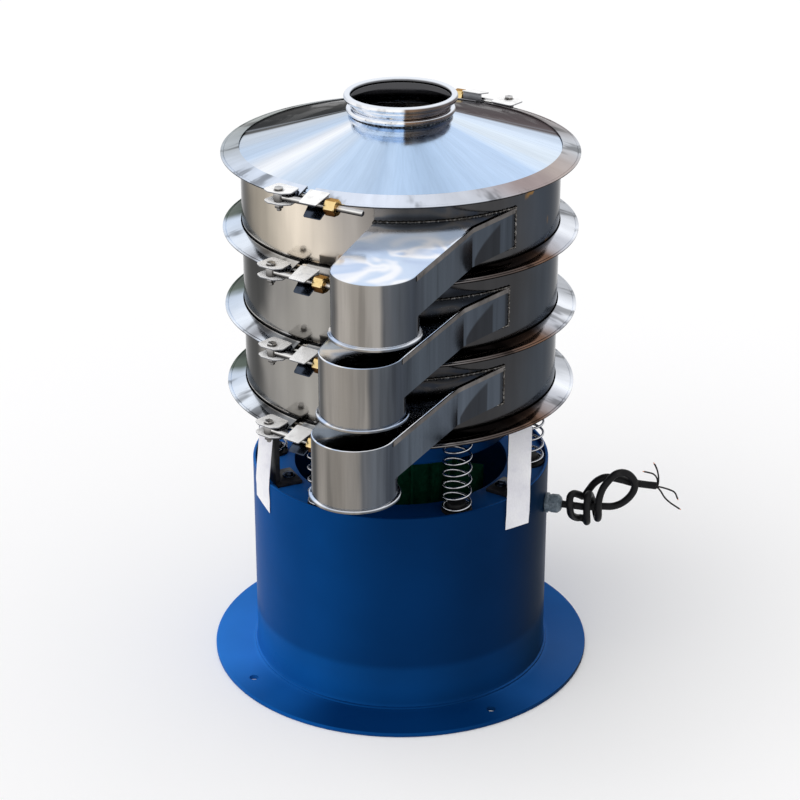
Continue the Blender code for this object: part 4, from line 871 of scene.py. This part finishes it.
def axes_along(direction):
    return direction.to_track_quat("X", "Z").to_matrix().to_4x4()


def make_cable():
    """The sheathed cable with its four cores, each with bare strands at the tip."""
    start = polar(GLAND_MOUTH + 0.3, GLAND_AZIMUTH, GLAND_HEIGHT)
    path = smooth_route([start, polar(GLAND_MOUTH + 8, GLAND_AZIMUTH, GLAND_HEIGHT)] + CABLE_ROUTE, 3.0)
    sheath = sweep(path, CABLE_RADIUS, 20, ripple=lambda i, p: 1.0 + 0.02 * noise.noise(p * 0.12))
    cable = piece("power_cable", sheath, RUBBER, "power_cord", "base")
    run_of(path) * MM
    [tuple(p * MM) for p in path]
    along = (path[-1] - path[-2]).normalized()
    cores = Shape().add(lying(SHEATH_END, 18), Matrix.Translation(path[-1]) @ axes_along(along))
    for route in CORE_ROUTES:
        core = smooth_route(route, 2.0)
        cores.add(sweep(core[:-1], CORE_RADIUS, 10))
        strands = sweep(core[-3:], CORE_RADIUS * 0.72, 8, ripple=lambda i, p: 1.0 - 0.12 * i)
        cores.add(strands, finish=1)
    piece("cable_cores", cores, [CORE_BLACK, COPPER], "cord_cores", "base")


make_cable()

# Base

BASE_R, BASE_RIM, FOOT_R, FOOT_T = 195.0, 282.4, 252.5, 6.0
ANCHOR_REACH, ANCHOR_FIRST, ANCHOR_HOLE_R = 227, 31, 6.0
LEDGE, DISH_FACE, SPRING_CIRCLE = 275, 386.5, 170
COIL_WIRE, COIL_R, COIL_TURNS, CLOSED_TURNS = 3.2, 17.4, 7.5, 0.75
SPRING_AZIMUTHS = [24.5 + 60 * i for i in range(6)]
BRACKET_AZIMUTHS = [54.5 + 120 * i for i in range(3)]


def base_profile():
    inner, middle = BASE_R - 4, 150
    wall_foot = [(BASE_R, middle), (BASE_R, FOOT_T), (FOOT_R, FOOT_T), (FOOT_R, 0.0), (200, 0.0)]
    rim = [(inner, middle), (inner, BASE_RIM), (BASE_R, BASE_RIM), (BASE_R, middle)]
    floor = [(0.0, FOOT_T), (120, FOOT_T), (inner, FOOT_T)]
    line = floor + bent(rim, [0, 1.4, 1.4, 0])[:-1] + bent(wall_foot, [0, 9, 1.6, 1.2, 0], 6)
    return line + [(120, 0.0), (0.0, 0.0)]


def drill(target, azimuth):
    """Cuts one anchor hole through the foot flange."""
    deep = 12
    points, faces = lathe([(0, -4), (ANCHOR_HOLE_R, -4), (ANCHOR_HOLE_R, deep), (0, deep)], 28)
    mesh = bpy.data.meshes.new("anchor_cutter")
    mesh.from_pydata([tuple((p + polar(ANCHOR_REACH, azimuth)) * MM) for p in points], [], faces)
    cutter = placed_object("anchor_cutter", mesh)
    modifier = target.modifiers.new("hole", "BOOLEAN")
    modifier.operation, modifier.object, modifier.solver = "DIFFERENCE", cutter, "EXACT"
    bpy.context.view_layer.update()
    evaluated = target.evaluated_get(bpy.context.evaluated_depsgraph_get())
    cut = bpy.data.meshes.new_from_object(evaluated)
    target.modifiers.remove(modifier)
    target.data = cut
    bpy.data.objects.remove(cutter)


def make_base():
    shell = piece("base_paint_shell", lathe(base_profile(), 180), BLUE, "base_shell", "base")
    for i in range(4):
        drill(shell, ANCHOR_FIRST + 90 * i)
    shade(shell.data)
    # the weld between wall and floor plate, under the paint
    ring = []
    for azimuth in range(361):
        wobble = 0.4 * noise.noise(Vector((*spoke(9, math.radians(azimuth)), 3.0)))
        ring.append(polar(BASE_R + 1.9 + wobble, azimuth, FOOT_T + 2.0 + wobble))
    bead = weld_bead(ring, 2.1, 10, (0.06, 2.1), (0.1, 0.4))
    piece("base_weld", bead, BLUE, None, "base")
    under, bore = LEDGE - 6, 140
    section = [(190.7, LEDGE), (190.7, under), (bore, under), (bore, LEDGE)]
    ledge = lathe(rounded(section, [0.2, 0.2, 1.2, 1.2]), loop=True)
    piece("spring_ledge", ledge, BLUE, "spring_plate", "base")


def make_seats(title, body, face, flip):
    """A rubber seat for each spring, with a stub inside the coil."""
    line = [(0.0, 12.0), (11.6, 12.0), (13.4, 3.0), (19.6, 3.0), (19.6, -0.4), (0.0, -0.4)]
    seats = Shape()
    for azimuth in SPRING_AZIMUTHS:
        at = stand(SPRING_CIRCLE, azimuth, face) @ Matrix.Diagonal((1, 1, flip, 1))
        seats.add(lathe(bent(line, [0, 1.6, 1.2, 0.9, 0.1, 0]), 40), at)
    piece(f"spring_seats_{title}", seats, RUBBER, None, body)


def coil(low, high, wire, reach, turns):
    """A coil's centreline, with its end turns closed."""
    path = []
    closed = CLOSED_TURNS
    count = int(turns * 36)
    low, high = low + wire / 2, high - wire / 2
    for i in range(count + 1):
        at = turns * i / count
        if at < closed:
            height = low + wire * at
        elif at > turns - closed:
            height = high - wire * (turns - at)
        else:
            share = (at - closed) / (turns - 2 * closed)
            height = low + wire * closed + share * (high - low - 2 * wire * closed)
        path.append((*spoke(reach, 2 * math.pi * at), height))
    return path


def make_spring(number, azimuth):
    line = coil(LEDGE + 3.3, DISH_FACE - 3.3, COIL_WIRE, COIL_R, COIL_TURNS)
    spring = Shape().add(sweep(line, COIL_WIRE / 2, 12), stand(SPRING_CIRCLE, azimuth))
    node_name = f"isolation_spring_{number}"
    made = piece(f"coil_spring_{number}", spring, SPRING_STEEL, node_name, None)
    foot, head = (tuple(polar(SPRING_CIRCLE, azimuth, height) * MM) for height in (280, 382))
    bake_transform(made)


def make_bracket(number, azimuth):
    """An angle with its foot on the ledge and a bolt through the foot."""
    back, toe, seat, top, half = -183, -149, LEDGE + 0.4, 382, 15
    side = [(back, seat), (toe, seat), (toe, 280.3), (back + 6, 280.3), (back + 6, top), (back, top)]
    upended = Matrix(((0, 0, 1, 0), (1, 0, 0, 0), (0, 1, 0, 0), (0, 0, 0, 1)))
    bracket = Shape().add(prism(rounded(side, [4.0, 0.6, 0.6, 3.0, 0.6, 0.6], 4), -half, half, 0.5), upended)
    bracket.add(block((-21, back, seat), (21, toe, 280.2), 0.7))
    bolt = shift(0, -159.2)
    bracket.add(washer(8.6, 281.6, 279.8, 0.4, 32), bolt, 1)
    bracket.add(hexagon(5.8, 281.2, 284.3, 0.6), bolt, 1)
    looks = [BLACK_PAINT, SHADED_STEEL]
    node_name = f"transport_bracket_{number}"
    piece(f"bracket_{number}", bracket, looks, node_name, "base", at=turn(azimuth))


make_base()
make_seats("lower", "base", LEDGE, 1)
make_seats("upper", "sieve_deck", DISH_FACE, -1)
for i, azimuth in enumerate(SPRING_AZIMUTHS):
    make_spring(i + 1, azimuth)
for i, azimuth in enumerate(BRACKET_AZIMUTHS):
    make_bracket(i + 1, azimuth)

# Paper tags

TAG_TOP, TAG_RIM, TAG_BEND, TAG_END, TAG_COLUMNS = 378.0, 284.6, 262, 242.0, 10


def make_tag(title, azimuth, top_reach, rim_reach, facing, slant, half, drift):
    """A thin paper strip from a bracket's top, over the rim and down the wall, a little curled."""
    knee = top_reach + (rim_reach - top_reach) * 0.55
    route = [(top_reach, TAG_TOP), (knee, (TAG_TOP + TAG_RIM) / 2)]
    route += [(rim_reach, height) for height in (TAG_RIM, TAG_BEND, TAG_END)]
    line = smooth_route([(*point, 0) for point in route], 3.0)
    middle = -(top_reach + rim_reach) / 2
    about = turn(azimuth) @ shift(0, middle) @ turn(facing) @ shift(0, -middle)
    lean = math.tan(math.radians(abs(slant)))

    def point_at(here, down, x, side):
        cut = TAG_END + (half - math.copysign(x, x * slant)) * lean
        under = (TAG_RIM - here.y) * (TAG_RIM - cut) / (TAG_RIM - TAG_END)
        height = here.y if here.y > TAG_RIM else TAG_RIM - under
        bow = 0.5 * (1 - (x / half) ** 2) * (0.35 + 0.65 * down) * 0.5
        ruffle = 0.35 * noise.noise(Vector((x * 0.06, here.y * 0.03, azimuth)))
        ragged = 0.5 * noise.noise(Vector((azimuth, here.y * 0.07, x * 0.02)))
        reach = here.x + 0.3 + bow + ruffle * 0.5 + side * 0.35
        aside = drift[0] + (drift[1] - drift[0]) * down + ragged
        return about @ Vector((x + aside, -reach, height))

    places = [half * (2 * k / TAG_COLUMNS - 1) for k in range(TAG_COLUMNS + 1)]
    shares = [i / (len(line) - 1) for i in range(len(line))]
    rows = [[point_at(p, down, x, side) for x in places] for side in (0, 1) for p, down in zip(line, shares)]
    points, numbers = numbered(rows)
    back, front = numbers[: len(line)], numbers[len(line) :]
    faces = [face[::-1] for face in skin(back, wrap=False)] + skin(front, wrap=False)
    border = back[0] + [row[-1] for row in back[1:]] + back[-1][-2::-1] + [row[0] for row in back[-2:0:-1]]
    over = front[0][0]
    faces += [[a, b, b + over, a + over] for a, b in zip(border, border[1:] + border[:1])]
    made = piece("paper_" + title, (points, faces), PAPER, title, "base")
    length = run_of(line)


make_tag("tag_right", 47.6, 184.2, 210.4, -47.6, -20, 14.5, (5.0, 2.0))
make_tag("tag_left", -64.5, 185.6, 196.8, 6.5, 20, 17.0, (0.0, 0.0))

# Cable gland

GLAND_RIBS = 20
GLAND_LINE = [
    (200.2, 5.3), (200.2, 11.6), (203.4, 11.6), (203.8, 12.3), (212.5, 12.3), (216.4, 9.2),
    (GLAND_MOUTH, 6.4), (217.5, 5.2),
]


def gland_rib(x, angle):
    return -0.5 * (0.5 + 0.5 * math.cos(GLAND_RIBS * angle)) if 203.9 < x < 212.4 else 0.0


gland = Shape()
gland_place = shift(0, 0, GLAND_HEIGHT) @ axes_along(polar(1, GLAND_AZIMUTH))
on_side = shift(BASE_R + 0.6) @ Matrix.Rotation(math.radians(90), 4, "Y")
gland.add(hexagon(13.5, 0, 5.0, 0.7, 30), gland_place @ on_side)
gland.add(lying(bent(GLAND_LINE, 0.5), 120, gland_rib), gland_place)
gland.add(lying([(196.0, 5.3), (185, 5.3), (185, 8.0), (196.0, 8.0)], 28), gland_place)
piece("cable_gland_cap", gland, GLAND, "cable_gland", "base")

# Dish, motor and other inner parts

STUD_CIRCLE, DISH_WEB = 89, 334
DISH_LINE = [
    (212, 391.5), (212, 390), (204, 390), (204, DISH_FACE), (150, DISH_FACE), (150, DISH_WEB),
    (78, DISH_WEB), (78, DISH_WEB + 4), (146, DISH_WEB + 4), (146, 391.5),
]
dish = lathe(rounded(DISH_LINE, [0.4, 0.4, 0.4, 0.8, 3.0, 5.0, 0.8, 0.8, 3.0, 1.0]), loop=True)
piece("dish_paint_shell", dish, BLUE, "vibrating_dish")
studs = Shape()
for i in range(6):
    at = stand(STUD_CIRCLE, 5 + 60 * i)
    studs.add(washer(11.5, DISH_WEB + 6, DISH_WEB + 3.6, 0.5, 32), at)
    studs.add(hexagon(9.0, DISH_WEB + 5.6, DISH_WEB + 11.6, 0.8), at)
    studs.add(lathe([(0, 342), (5, 342), (5, 312.5), (4.4, 311.7), (0, 311.7)], 20), at)
    studs.add(hexagon(9.0, 315.6, 323.6, 0.8), at)
piece("motor_studs", studs, ZINC_STEEL)

INNER_LOOKS = {
    "motor_housing motor_end_shield motor_guard": GREEN_PAINT,
    "lower_bearing upper_bearing rotor_shaft": ZINC_STEEL,
    "upper_weight lower_weight": CAST_STEEL,
    "bottom_pan lower_screen upper_screen": HIDDEN_STEEL,
}
for names, look in INNER_LOOKS.items():
    for name in names.split():
        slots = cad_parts[name].data.materials
        for k in range(len(slots)):
            slots[k] = look
        if not len(slots):
            slots.append(look)

# Sieve frames

MOUTH_STEPS, WALL_STEPS = 22, 130


def root_points(inset):
    left, right, bend = (polar(*place).to_2d() for place in (CHUTE_LEFT, CHUTE_RIGHT, CHUTE_BEND))
    right += Vector((-inset, inset)) * 0.7
    return left + Vector((inset, 0)), right, bend + Vector((-inset, inset * 0.5))


def make_drum(size):
    """A rolled wall with small folded flanges, open where the spout joins it."""
    lower, upper = DRUMS[size]
    low, high = RINGS[lower] + 1.6, RINGS[upper] - 1.6
    _, floor, top = spout_heights(size)
    sill, lintel = floor + SHEET, top - SHEET
    left, right = (SPOUT_AZIMUTHS[size] + azimuth_of(p) for p in root_points(SHEET)[:2])
    azimuths = [left + (right - left) * k / MOUTH_STEPS for k in range(MOUTH_STEPS)]
    azimuths += [right + (left + 360 - right) * k / WALL_STEPS for k in range(WALL_STEPS)]
    foot = [(DRUM_FLANGE_R, low + SHEET), (DRUM_R, low + SHEET), (DRUM_R, low + 30)]
    head = [(DRUM_R, high - 30), (DRUM_R, high - SHEET), (DRUM_FLANGE_R, high - SHEET)]
    outer = [(211.7, low), (DRUM_FLANGE_R, low + 0.4), (DRUM_FLANGE_R, low + 1.1)]
    outer += bent(foot, [0, 3.4, 0], 5)[:-1]
    outside = len(outer)
    outer += [(DRUM_R, sill), (DRUM_R, lintel)] + bent(head, [0, 2.6, 0], 4)[1:]
    outer += [(DRUM_FLANGE_R, high - 0.4), (211.7, high)]
    bore = [high - 0.8, lintel, sill, low + 0.8]
    inner = [(198.6, high)] + [(DRUM_BORE, height) for height in bore] + [(198.6, low)]
    inside = len(outer) + 2
    rows = [[polar(radius, azimuth, height) for azimuth in azimuths] for radius, height in outer + inner]
    points, numbers = numbered(rows)
    count = len(azimuths)
    faces = [
        face
        for i, face in enumerate(skin(numbers, loop=True))
        if i // count not in (outside, inside) or i % count >= MOUTH_STEPS
    ]
    mouth = [row[: MOUTH_STEPS + 1] for row in numbers]
    for pair in ((outside, inside + 1), (outside + 1, inside)):
        faces += skin([mouth[pair[0]], mouth[pair[1]]], wrap=False)
    faces += ends([mouth[row] for row in (outside, outside + 1, inside, inside + 1)])
    piece(f"{size}_drum", (points, faces), WALL_STEEL, f"{size}_frame")


for size in DRUMS:
    make_drum(size)

# white seals between the flanges show as a thin line where a clamp half ends
for ring, height in RINGS.items():
    section = [(212.4, height + 1.3), (212.4, height - 1.3), (206, height - 1.3), (206, height + 1.3)]
    piece(f"seal_{ring}", lathe(rounded(section, 0.4), loop=True), SEAL)

# Spouts

GAP_STEPS, PIPE_STEPS, TOP_EDGE_R = 6, 36, 2.4
HEM_DROPS = [(0.3, 0.6), (-0.7, 1.2), (-0.7, 7.0), (0.3, 7.6)]
LIP = [(48.5, 0), (52.9, 0), (53.7, 0.9), (53.7, 2.6), (52.9, 3.8), (50.0, 4.8), (48.5, 4.8)]


def pipe_point(radius, angle):
    x, y = spoke(radius, angle)
    return Vector((x, y - PIPE_REACH))


def tangent(point, radius, side):
    toward = Vector(point) - pipe_point(0, 0)
    return math.atan2(toward.y, toward.x) + side * math.acos(radius / toward.length)


def spout_line(inset):
    """The spout's walls seen from above: left root, round the pipe, bend, right root."""
    left, right, bend = root_points(inset)
    radius = PIPE_R - inset
    start, end = tangent(left, radius, 1), tangent(bend, radius, -1)
    while start > end:
        start -= 2 * math.pi
    arc = [pipe_point(radius, start + (end - start) * i / PIPE_STEPS) for i in range(PIPE_STEPS + 1)]
    gap = [left + (arc[0] - left) * k / GAP_STEPS for k in range(GAP_STEPS)]
    chute = [arc[-1] + (bend - arc[-1]) * k / 8 for k in range(1, 8)]
    corner = [Vector(p) for p in bent([tuple(chute[-1]), tuple(bend), tuple(right)], [0, 9.0, 0], 6)]
    rest = [corner[-2] + (right - corner[-2]) * k / 4 for k in range(1, 5)]
    return gap + arc + chute[:-1] + corner[:-1] + rest, start, end


def drum_arc(first, last, steps=16, reach=199.2):
    a, b = azimuth_of(first), azimuth_of(last)
    return [polar(reach, a + (b - a) * k / steps).to_2d() for k in range(steps + 1)]


def level(line, height):
    return [Vector((p.x, p.y, height)) for p in line]


def strip(rows):
    points, numbers = numbered(rows)
    return points, skin(numbers, wrap=False)


def closed_by_drum(line):
    return list(line) + drum_arc(line[-1], line[0])[1:-1]


def make_spout(size):
    low, floor, top = spout_heights(size)
    shape = Shape()
    outer = spout_line(0)[0]
    rows = [level(outer, height) for height in (floor, floor + 20, top - 12, top - TOP_EDGE_R)]
    for k in range(1, 6):
        across, up = spoke(TOP_EDGE_R, math.radians(18 * k))
        rows.append(level(spout_line(TOP_EDGE_R - across)[0], top - TOP_EDGE_R + up))
    shape.add(strip(rows))
    shape.add(flat(closed_by_drum(rows[-1]), top))
    inner = spout_line(SHEET)[0]
    shape.add(strip([level(inner, floor + SHEET), level(inner, top - SHEET)]))
    shape.add(flat(closed_by_drum(inner), top - SHEET))
    # the chute's floor round the pipe, below and above, and the pipe's two faces
    for inset, height in ((0.0, floor), (SHEET, floor + SHEET)):
        line, first, last = spout_line(inset)
        radius, rest = PIPE_R - inset, first + 2 * math.pi - last
        behind = [pipe_point(radius, last + rest * k / 40) for k in range(39, 0, -1)]
        border = line[: GAP_STEPS + 1] + behind + line[GAP_STEPS + PIPE_STEPS + 1 :]
        shape.add(flat(closed_by_drum(border), height))
        full = [pipe_point(radius, 2 * math.pi * k / 96) for k in range(97)]
        shape.add(strip([level(full, low + 1), level(full, height)]))
    lip = rounded([(radius, low + up) for radius, up in LIP], [0.4, 1.0, 0.8, 0.8, 1.0, 1.6, 0.1])
    shape.add(lathe(lip, 96, loop=True), shift(0, -PIPE_REACH))
    at = turn(SPOUT_AZIMUTHS[size])
    piece(f"{size}_outlet", shape, SPOUT_STEEL[size], f"{size}_spout", sharp=28, at=at)


def make_spout_seams(size):
    """Weld runs where the chute meets the drum, and the folded hem on its right top edge."""
    _, floor, top = spout_heights(size)
    outer = spout_line(0)[0]
    at = turn(SPOUT_AZIMUTHS[size])
    left, right = outer[0], outer[-1]
    heights = [floor + (top - floor) * k / 30 for k in range(31)]
    rim = drum_arc(left, right, 90, DRUM_R + 0.8)
    uprights = [[Vector((*side, height)) for height in heights] for side in (right, left)]
    runs = [level(rim, top + 0.4), *uprights, level(rim, floor - 0.4)]
    seams = Shape()
    for r, run in enumerate(runs):
        seams.add(weld_bead(run, 1.35, 10, (0.28, 1.9), (0.35, 0.5), r, capped=True))
    piece(f"{size}_outlet_welds", seams, WELD, at=at)
    rows = [level(spout_line(inset)[0][GAP_STEPS + PIPE_STEPS :], top - drop) for inset, drop in HEM_DROPS]
    points, numbers = numbered(rows)
    hem = Shape().add((points, skin(numbers, wrap=False, loop=True) + ends(numbers)))
    piece(f"{size}_outlet_hem", hem, HEM_STEEL, at=at)


for size in DRUMS:
    make_spout(size)
    make_spout_seams(size)

# Lid and inlet

LID_EDGE, NECK_R, CONE_R = 707.2, 61, 204


def lid_wave(radius, azimuth, height):
    """The hand-beaten sheet waves a little from the neck to the edge."""
    if not 66 < radius < 203:
        return 0.0
    y, x = spoke(2.2, math.radians(azimuth))
    share = math.sin(math.pi * (radius - 64) / 140)
    return 0.45 * share * noise.noise(Vector((x, y, radius * 0.004)))


def roll_points(radius, height, size, start, end, steps):
    """Points round a rolled edge, with its angles in degrees."""
    angles = [math.radians(start + (end - start) * k / steps) for k in range(steps + 1)]
    return [(radius + size * math.cos(a), height + size * math.sin(a)) for a in angles]


def make_lid():
    fall = NECK_FOOT - LID_EDGE
    line = [(NECK_R + (CONE_R - NECK_R) * k / 12, NECK_FOOT - fall * k / 12) for k in range(13)]
    edge = [(205.4, 706.9), (208.2, 704.8), (212, 704.8), (212, 700.4), (198, 700.4), (198, 705.3)]
    line += bent(edge, [1.2, 1.2, 0.6, 0.4, 0.4, 0.4]) + [(NECK_R, NECK_FOOT - 1.5)]
    piece("lid_cone", lathe(line, 216, loop=True, wave=lid_wave), LID_STEEL, "lid")


def make_neck():
    """The inlet's neck, with a bead at its foot and a rolled rim."""
    foot = [(58, -2.4), (60.7, -2.4), (60.7, 0.3), (62.4, 0.5)]
    wall = [(63, 9.6), (63, 12.5), (63.4, 14.6)]
    throat = [(61.2, 19.0), (59.4, 17.0), (58, 14)]
    line = foot + roll_points(64.2, 5.0, 3.7, -70, 75, 9) + wall
    line += roll_points(66.4, 21.3, 4.6, -100, 200, 18) + throat
    neck = lathe([(radius, NECK_FOOT + up) for radius, up in line], loop=True)
    piece("inlet_neck", neck, COLLAR_STEEL, "inlet_collar")
    ring = [polar(62.6, 1.5 * k, NECK_FOOT + 0.5) for k in range(241)]
    piece("neck_weld", weld_bead(ring, 1.1, 8, (0.3, 1.7), (0.3, 0.7)), WELD)


make_lid()
make_neck()

# Clamp rings and their closures

EAR = [(-12, 20), (-44, 24), (-48, -3), (-38, -9), (-19, -9), (-10, -1)]
UPPER_FLAP = ((0, 11, 12.0), (0, -19, 5.4))
LOWER_FLAP = ((0, 9, -3.0), (0, -10, -14.5))
FLANK_START, BAND_MIDDLE = 201.2, 224
NUT_START, NUT_LENGTH, NUT_FLAT, NUT_CORNER, NUT_STEPS = 38.8, 14.8, 9.3, 10.6, 48
SHANK_R, THREAD_START, THREAD_END, THREAD_PITCH = 3.9, 34.0, 87.2, 1.6


def band_section():
    """Two flanks that grip the flanges, with a rolled bead along their edge."""
    line = bent([(FLANK_START, 6.8), (FLANK_START, 8.2), (219.6, 2.2), (220.7, 1.0)], [0.3, 0.5, 0.5, 0], 2)
    inner = bent([(FLANK_START, -6.8), (219.8, -0.7), (219.8, 0.7), (FLANK_START, 6.8)], [0, 0.4, 0.4, 0], 2)
    mirrored = [(radius, -up) for radius, up in reversed(line)]
    return line + roll_points(222.6, 0, 1.8, 142, -142, 14) + mirrored + inner[1:-1]


def make_half(ring, name, start_side, end_side):
    """Half a clamp ring: a yoke where it starts, a fork with its pin where it ends."""
    begin = CLOSURES[ring] + (180 if start_side == "rear" else 0)
    first, last = begin + math.degrees(6 / BAND_MIDDLE), begin + 180 - math.degrees(8 / BAND_MIDDLE)
    section = [(radius, up + RINGS[ring]) for radius, up in band_section()]
    shape = Shape().add(lathe(section, 84, first, last, loop=True))
    yoke, fork = closure_matrix(ring, start_side), closure_matrix(ring, end_side)
    for side, flap, finish in ((1, UPPER_FLAP, 1), (-1, LOWER_FLAP, 3)):
        root, tip = (Vector(point) for point in flap)
        half = (tip - root).length / 2
        lean = Matrix.Rotation(math.atan2(tip.z - root.z, tip.y - root.y), 4, "X")
        outline = rounded([(9, -half), (37, -half), (35.5, half), (12, half)], 2.2, 4)
        shape.add(prism(outline, -0.9, 0.9, 0.45), yoke @ Matrix.Translation((root + tip) / 2) @ lean, finish)
        low, high = (0, 11.6) if side > 0 else (-4.6, 0)
        shape.add(block((9.5, 6, low), (36, 9.4, high), 0.5), yoke, 1)
        low, high = sorted((side * 5.8, side * 7.8))
        shape.add(prism(rounded(EAR, [4, 5, 6, 4, 7, 4], 4), low, high, 0.45), fork, 1)
        low, high = sorted((side * 2.6, side * 7.0))
        shape.add(block((-42, 13, low), (-14, 18, high), 0.6), fork, 1)
    pin = [lathe([(0, 8), (3, 8), (3, -16.6), (2.4, -17.2), (0, -17.2)], 20), washer(6.4, 8.6, 7.7, 0.3, 28)]
    for part in pin + [hexagon(5.8, 8.5, 11.8, 0.7), hexagon(5.8, -13.4, -8.2, 0.7)]:
        shape.add(part, fork @ shift(PIN_ASIDE), 2)
    looks = [RING_STEEL, CLAMP_STEEL, ZINC_STEEL, SHADED_STEEL]
    piece(f"clamp_band_{ring}_{name}", shape, looks, f"clamp_ring_{ring}_{name}", merge=False)


def thread(x, angle):
    if not THREAD_START + 0.2 < x < THREAD_END - 0.2:
        return 0.0
    return 0.28 * (2 * abs(((x / THREAD_PITCH + angle / (2 * math.pi)) % 1.0) - 0.5) - 0.5)


def make_bolt(ring, side):
    """An eye on the fork's pin, a plain shank and a thread."""
    place = closure_matrix(ring, side)
    eye = rounded([(3.45, -5.4), (6.5, -5.4), (6.5, 5.4), (3.45, 5.4)], [0.5, 1.2, 1.2, 0.5])
    shape = Shape().add(lathe(eye, 36, loop=True), place @ shift(PIN_ASIDE))
    shape.add(lying(bent([(-22.4, 3.2), (-21.6, SHANK_R), (THREAD_START, SHANK_R)], [0, 0.4, 0], 2)), place)
    line = [(THREAD_START + 0.4 * k, 3.72) for k in range(int((THREAD_END - THREAD_START) / 0.4))]
    line = [(THREAD_START - 0.2, 3.3)] + line + [(THREAD_END + 0.2, 3.3), (THREAD_END + 0.8, 2.8)]
    shape.add(lying(line, 20, thread), place)
    name, body = f"swing_bolt_{ring}_{side}", f"bolt_{ring}_{side}"
    piece("eye_" + body, shape, ZINC_STEEL, name, body, merge=False)


def make_nut(ring, side):
    """A hexagonal nut with both its ends chamfered."""
    chamfer = NUT_FLAT * 0.96
    hexagonal = [(1.2, NUT_CORNER), (NUT_LENGTH - 1.2, NUT_CORNER)]
    line = [(0.0, 4.3), (0.0, chamfer)] + hexagonal
    line += [(NUT_LENGTH, chamfer), (NUT_LENGTH, 4.3), (NUT_LENGTH / 2, 4.1)]
    rows = []
    for x, reach in line:
        row = []
        for k in range(NUT_STEPS):
            angle = 2 * math.pi * k / NUT_STEPS
            flat_reach = NUT_FLAT / math.cos((angle + math.pi / 6) % (math.pi / 3) - math.pi / 6)
            z, y = spoke(min(flat_reach, reach) if (x, reach) in hexagonal else reach, angle)
            row.append(Vector((NUT_START + x, y, z)))
        rows.append(row)
    points, numbers = numbered(rows)
    nut = Shape().add((points, skin(numbers, loop=True)), closure_matrix(ring, side))
    name, body = f"clamp_nut_{ring}_{side}", f"nut_{ring}_{side}"
    piece("brass_" + body, nut, BRASS, name, body, sharp=24)


for ring in RINGS:
    make_half(ring, "right", "front", "rear")
    make_half(ring, "left", "rear", "front")
    for side in ("front", "rear"):
        make_bolt(ring, side)
        make_nut(ring, side)

# Floor, light and background

HALF_FLOOR = 40
corners = [(-1, -1), (1, -1), (1, 1), (-1, 1)]
floor_mesh = bpy.data.meshes.new("floor")
floor_mesh.from_pydata([(x * HALF_FLOOR, y * HALF_FLOOR, 0) for x, y in corners], [], [(0, 1, 2, 3)])
floor = placed_object("floor", floor_mesh)
floor.location.z = -0.0004
floor_mesh.materials.append(Look("floor_white", (0.985, 0.985, 0.985), 0.9, specular=0.0).material)

# seen directly or in metal the world is white; it lights the scene at a plain level
world = bpy.data.worlds.new("studio")
bpy.context.scene.world = world
world.use_nodes = True
rays = world.node_tree.nodes.new("ShaderNodeLightPath").outputs
direct, mirrored, through = (Value(rays[f"Is {kind} Ray"]) for kind in ("Camera", "Glossy", "Transmission"))
seen = direct.maths("MAXIMUM", mirrored).maths("MAXIMUM", through)
background = world.node_tree.nodes["Background"]
world.node_tree.links.new(mix(seen, (0.77, 0.77, 0.78), WHITE).socket, background.inputs["Color"])
background.inputs["Strength"].default_value = 1.0

light = bpy.data.lights.new("key", "SUN")
light.angle, light.energy, light.color = math.radians(55), 1.0, (1.0, 0.99, 0.975)
sun = placed_object("key", light)
sun.rotation_euler = Vector((1.0, 0.9, -1.9)).to_track_quat("-Z", "Y").to_euler()
sun.visible_glossy = False

bpy.context.scene.view_settings.view_transform = "Standard"
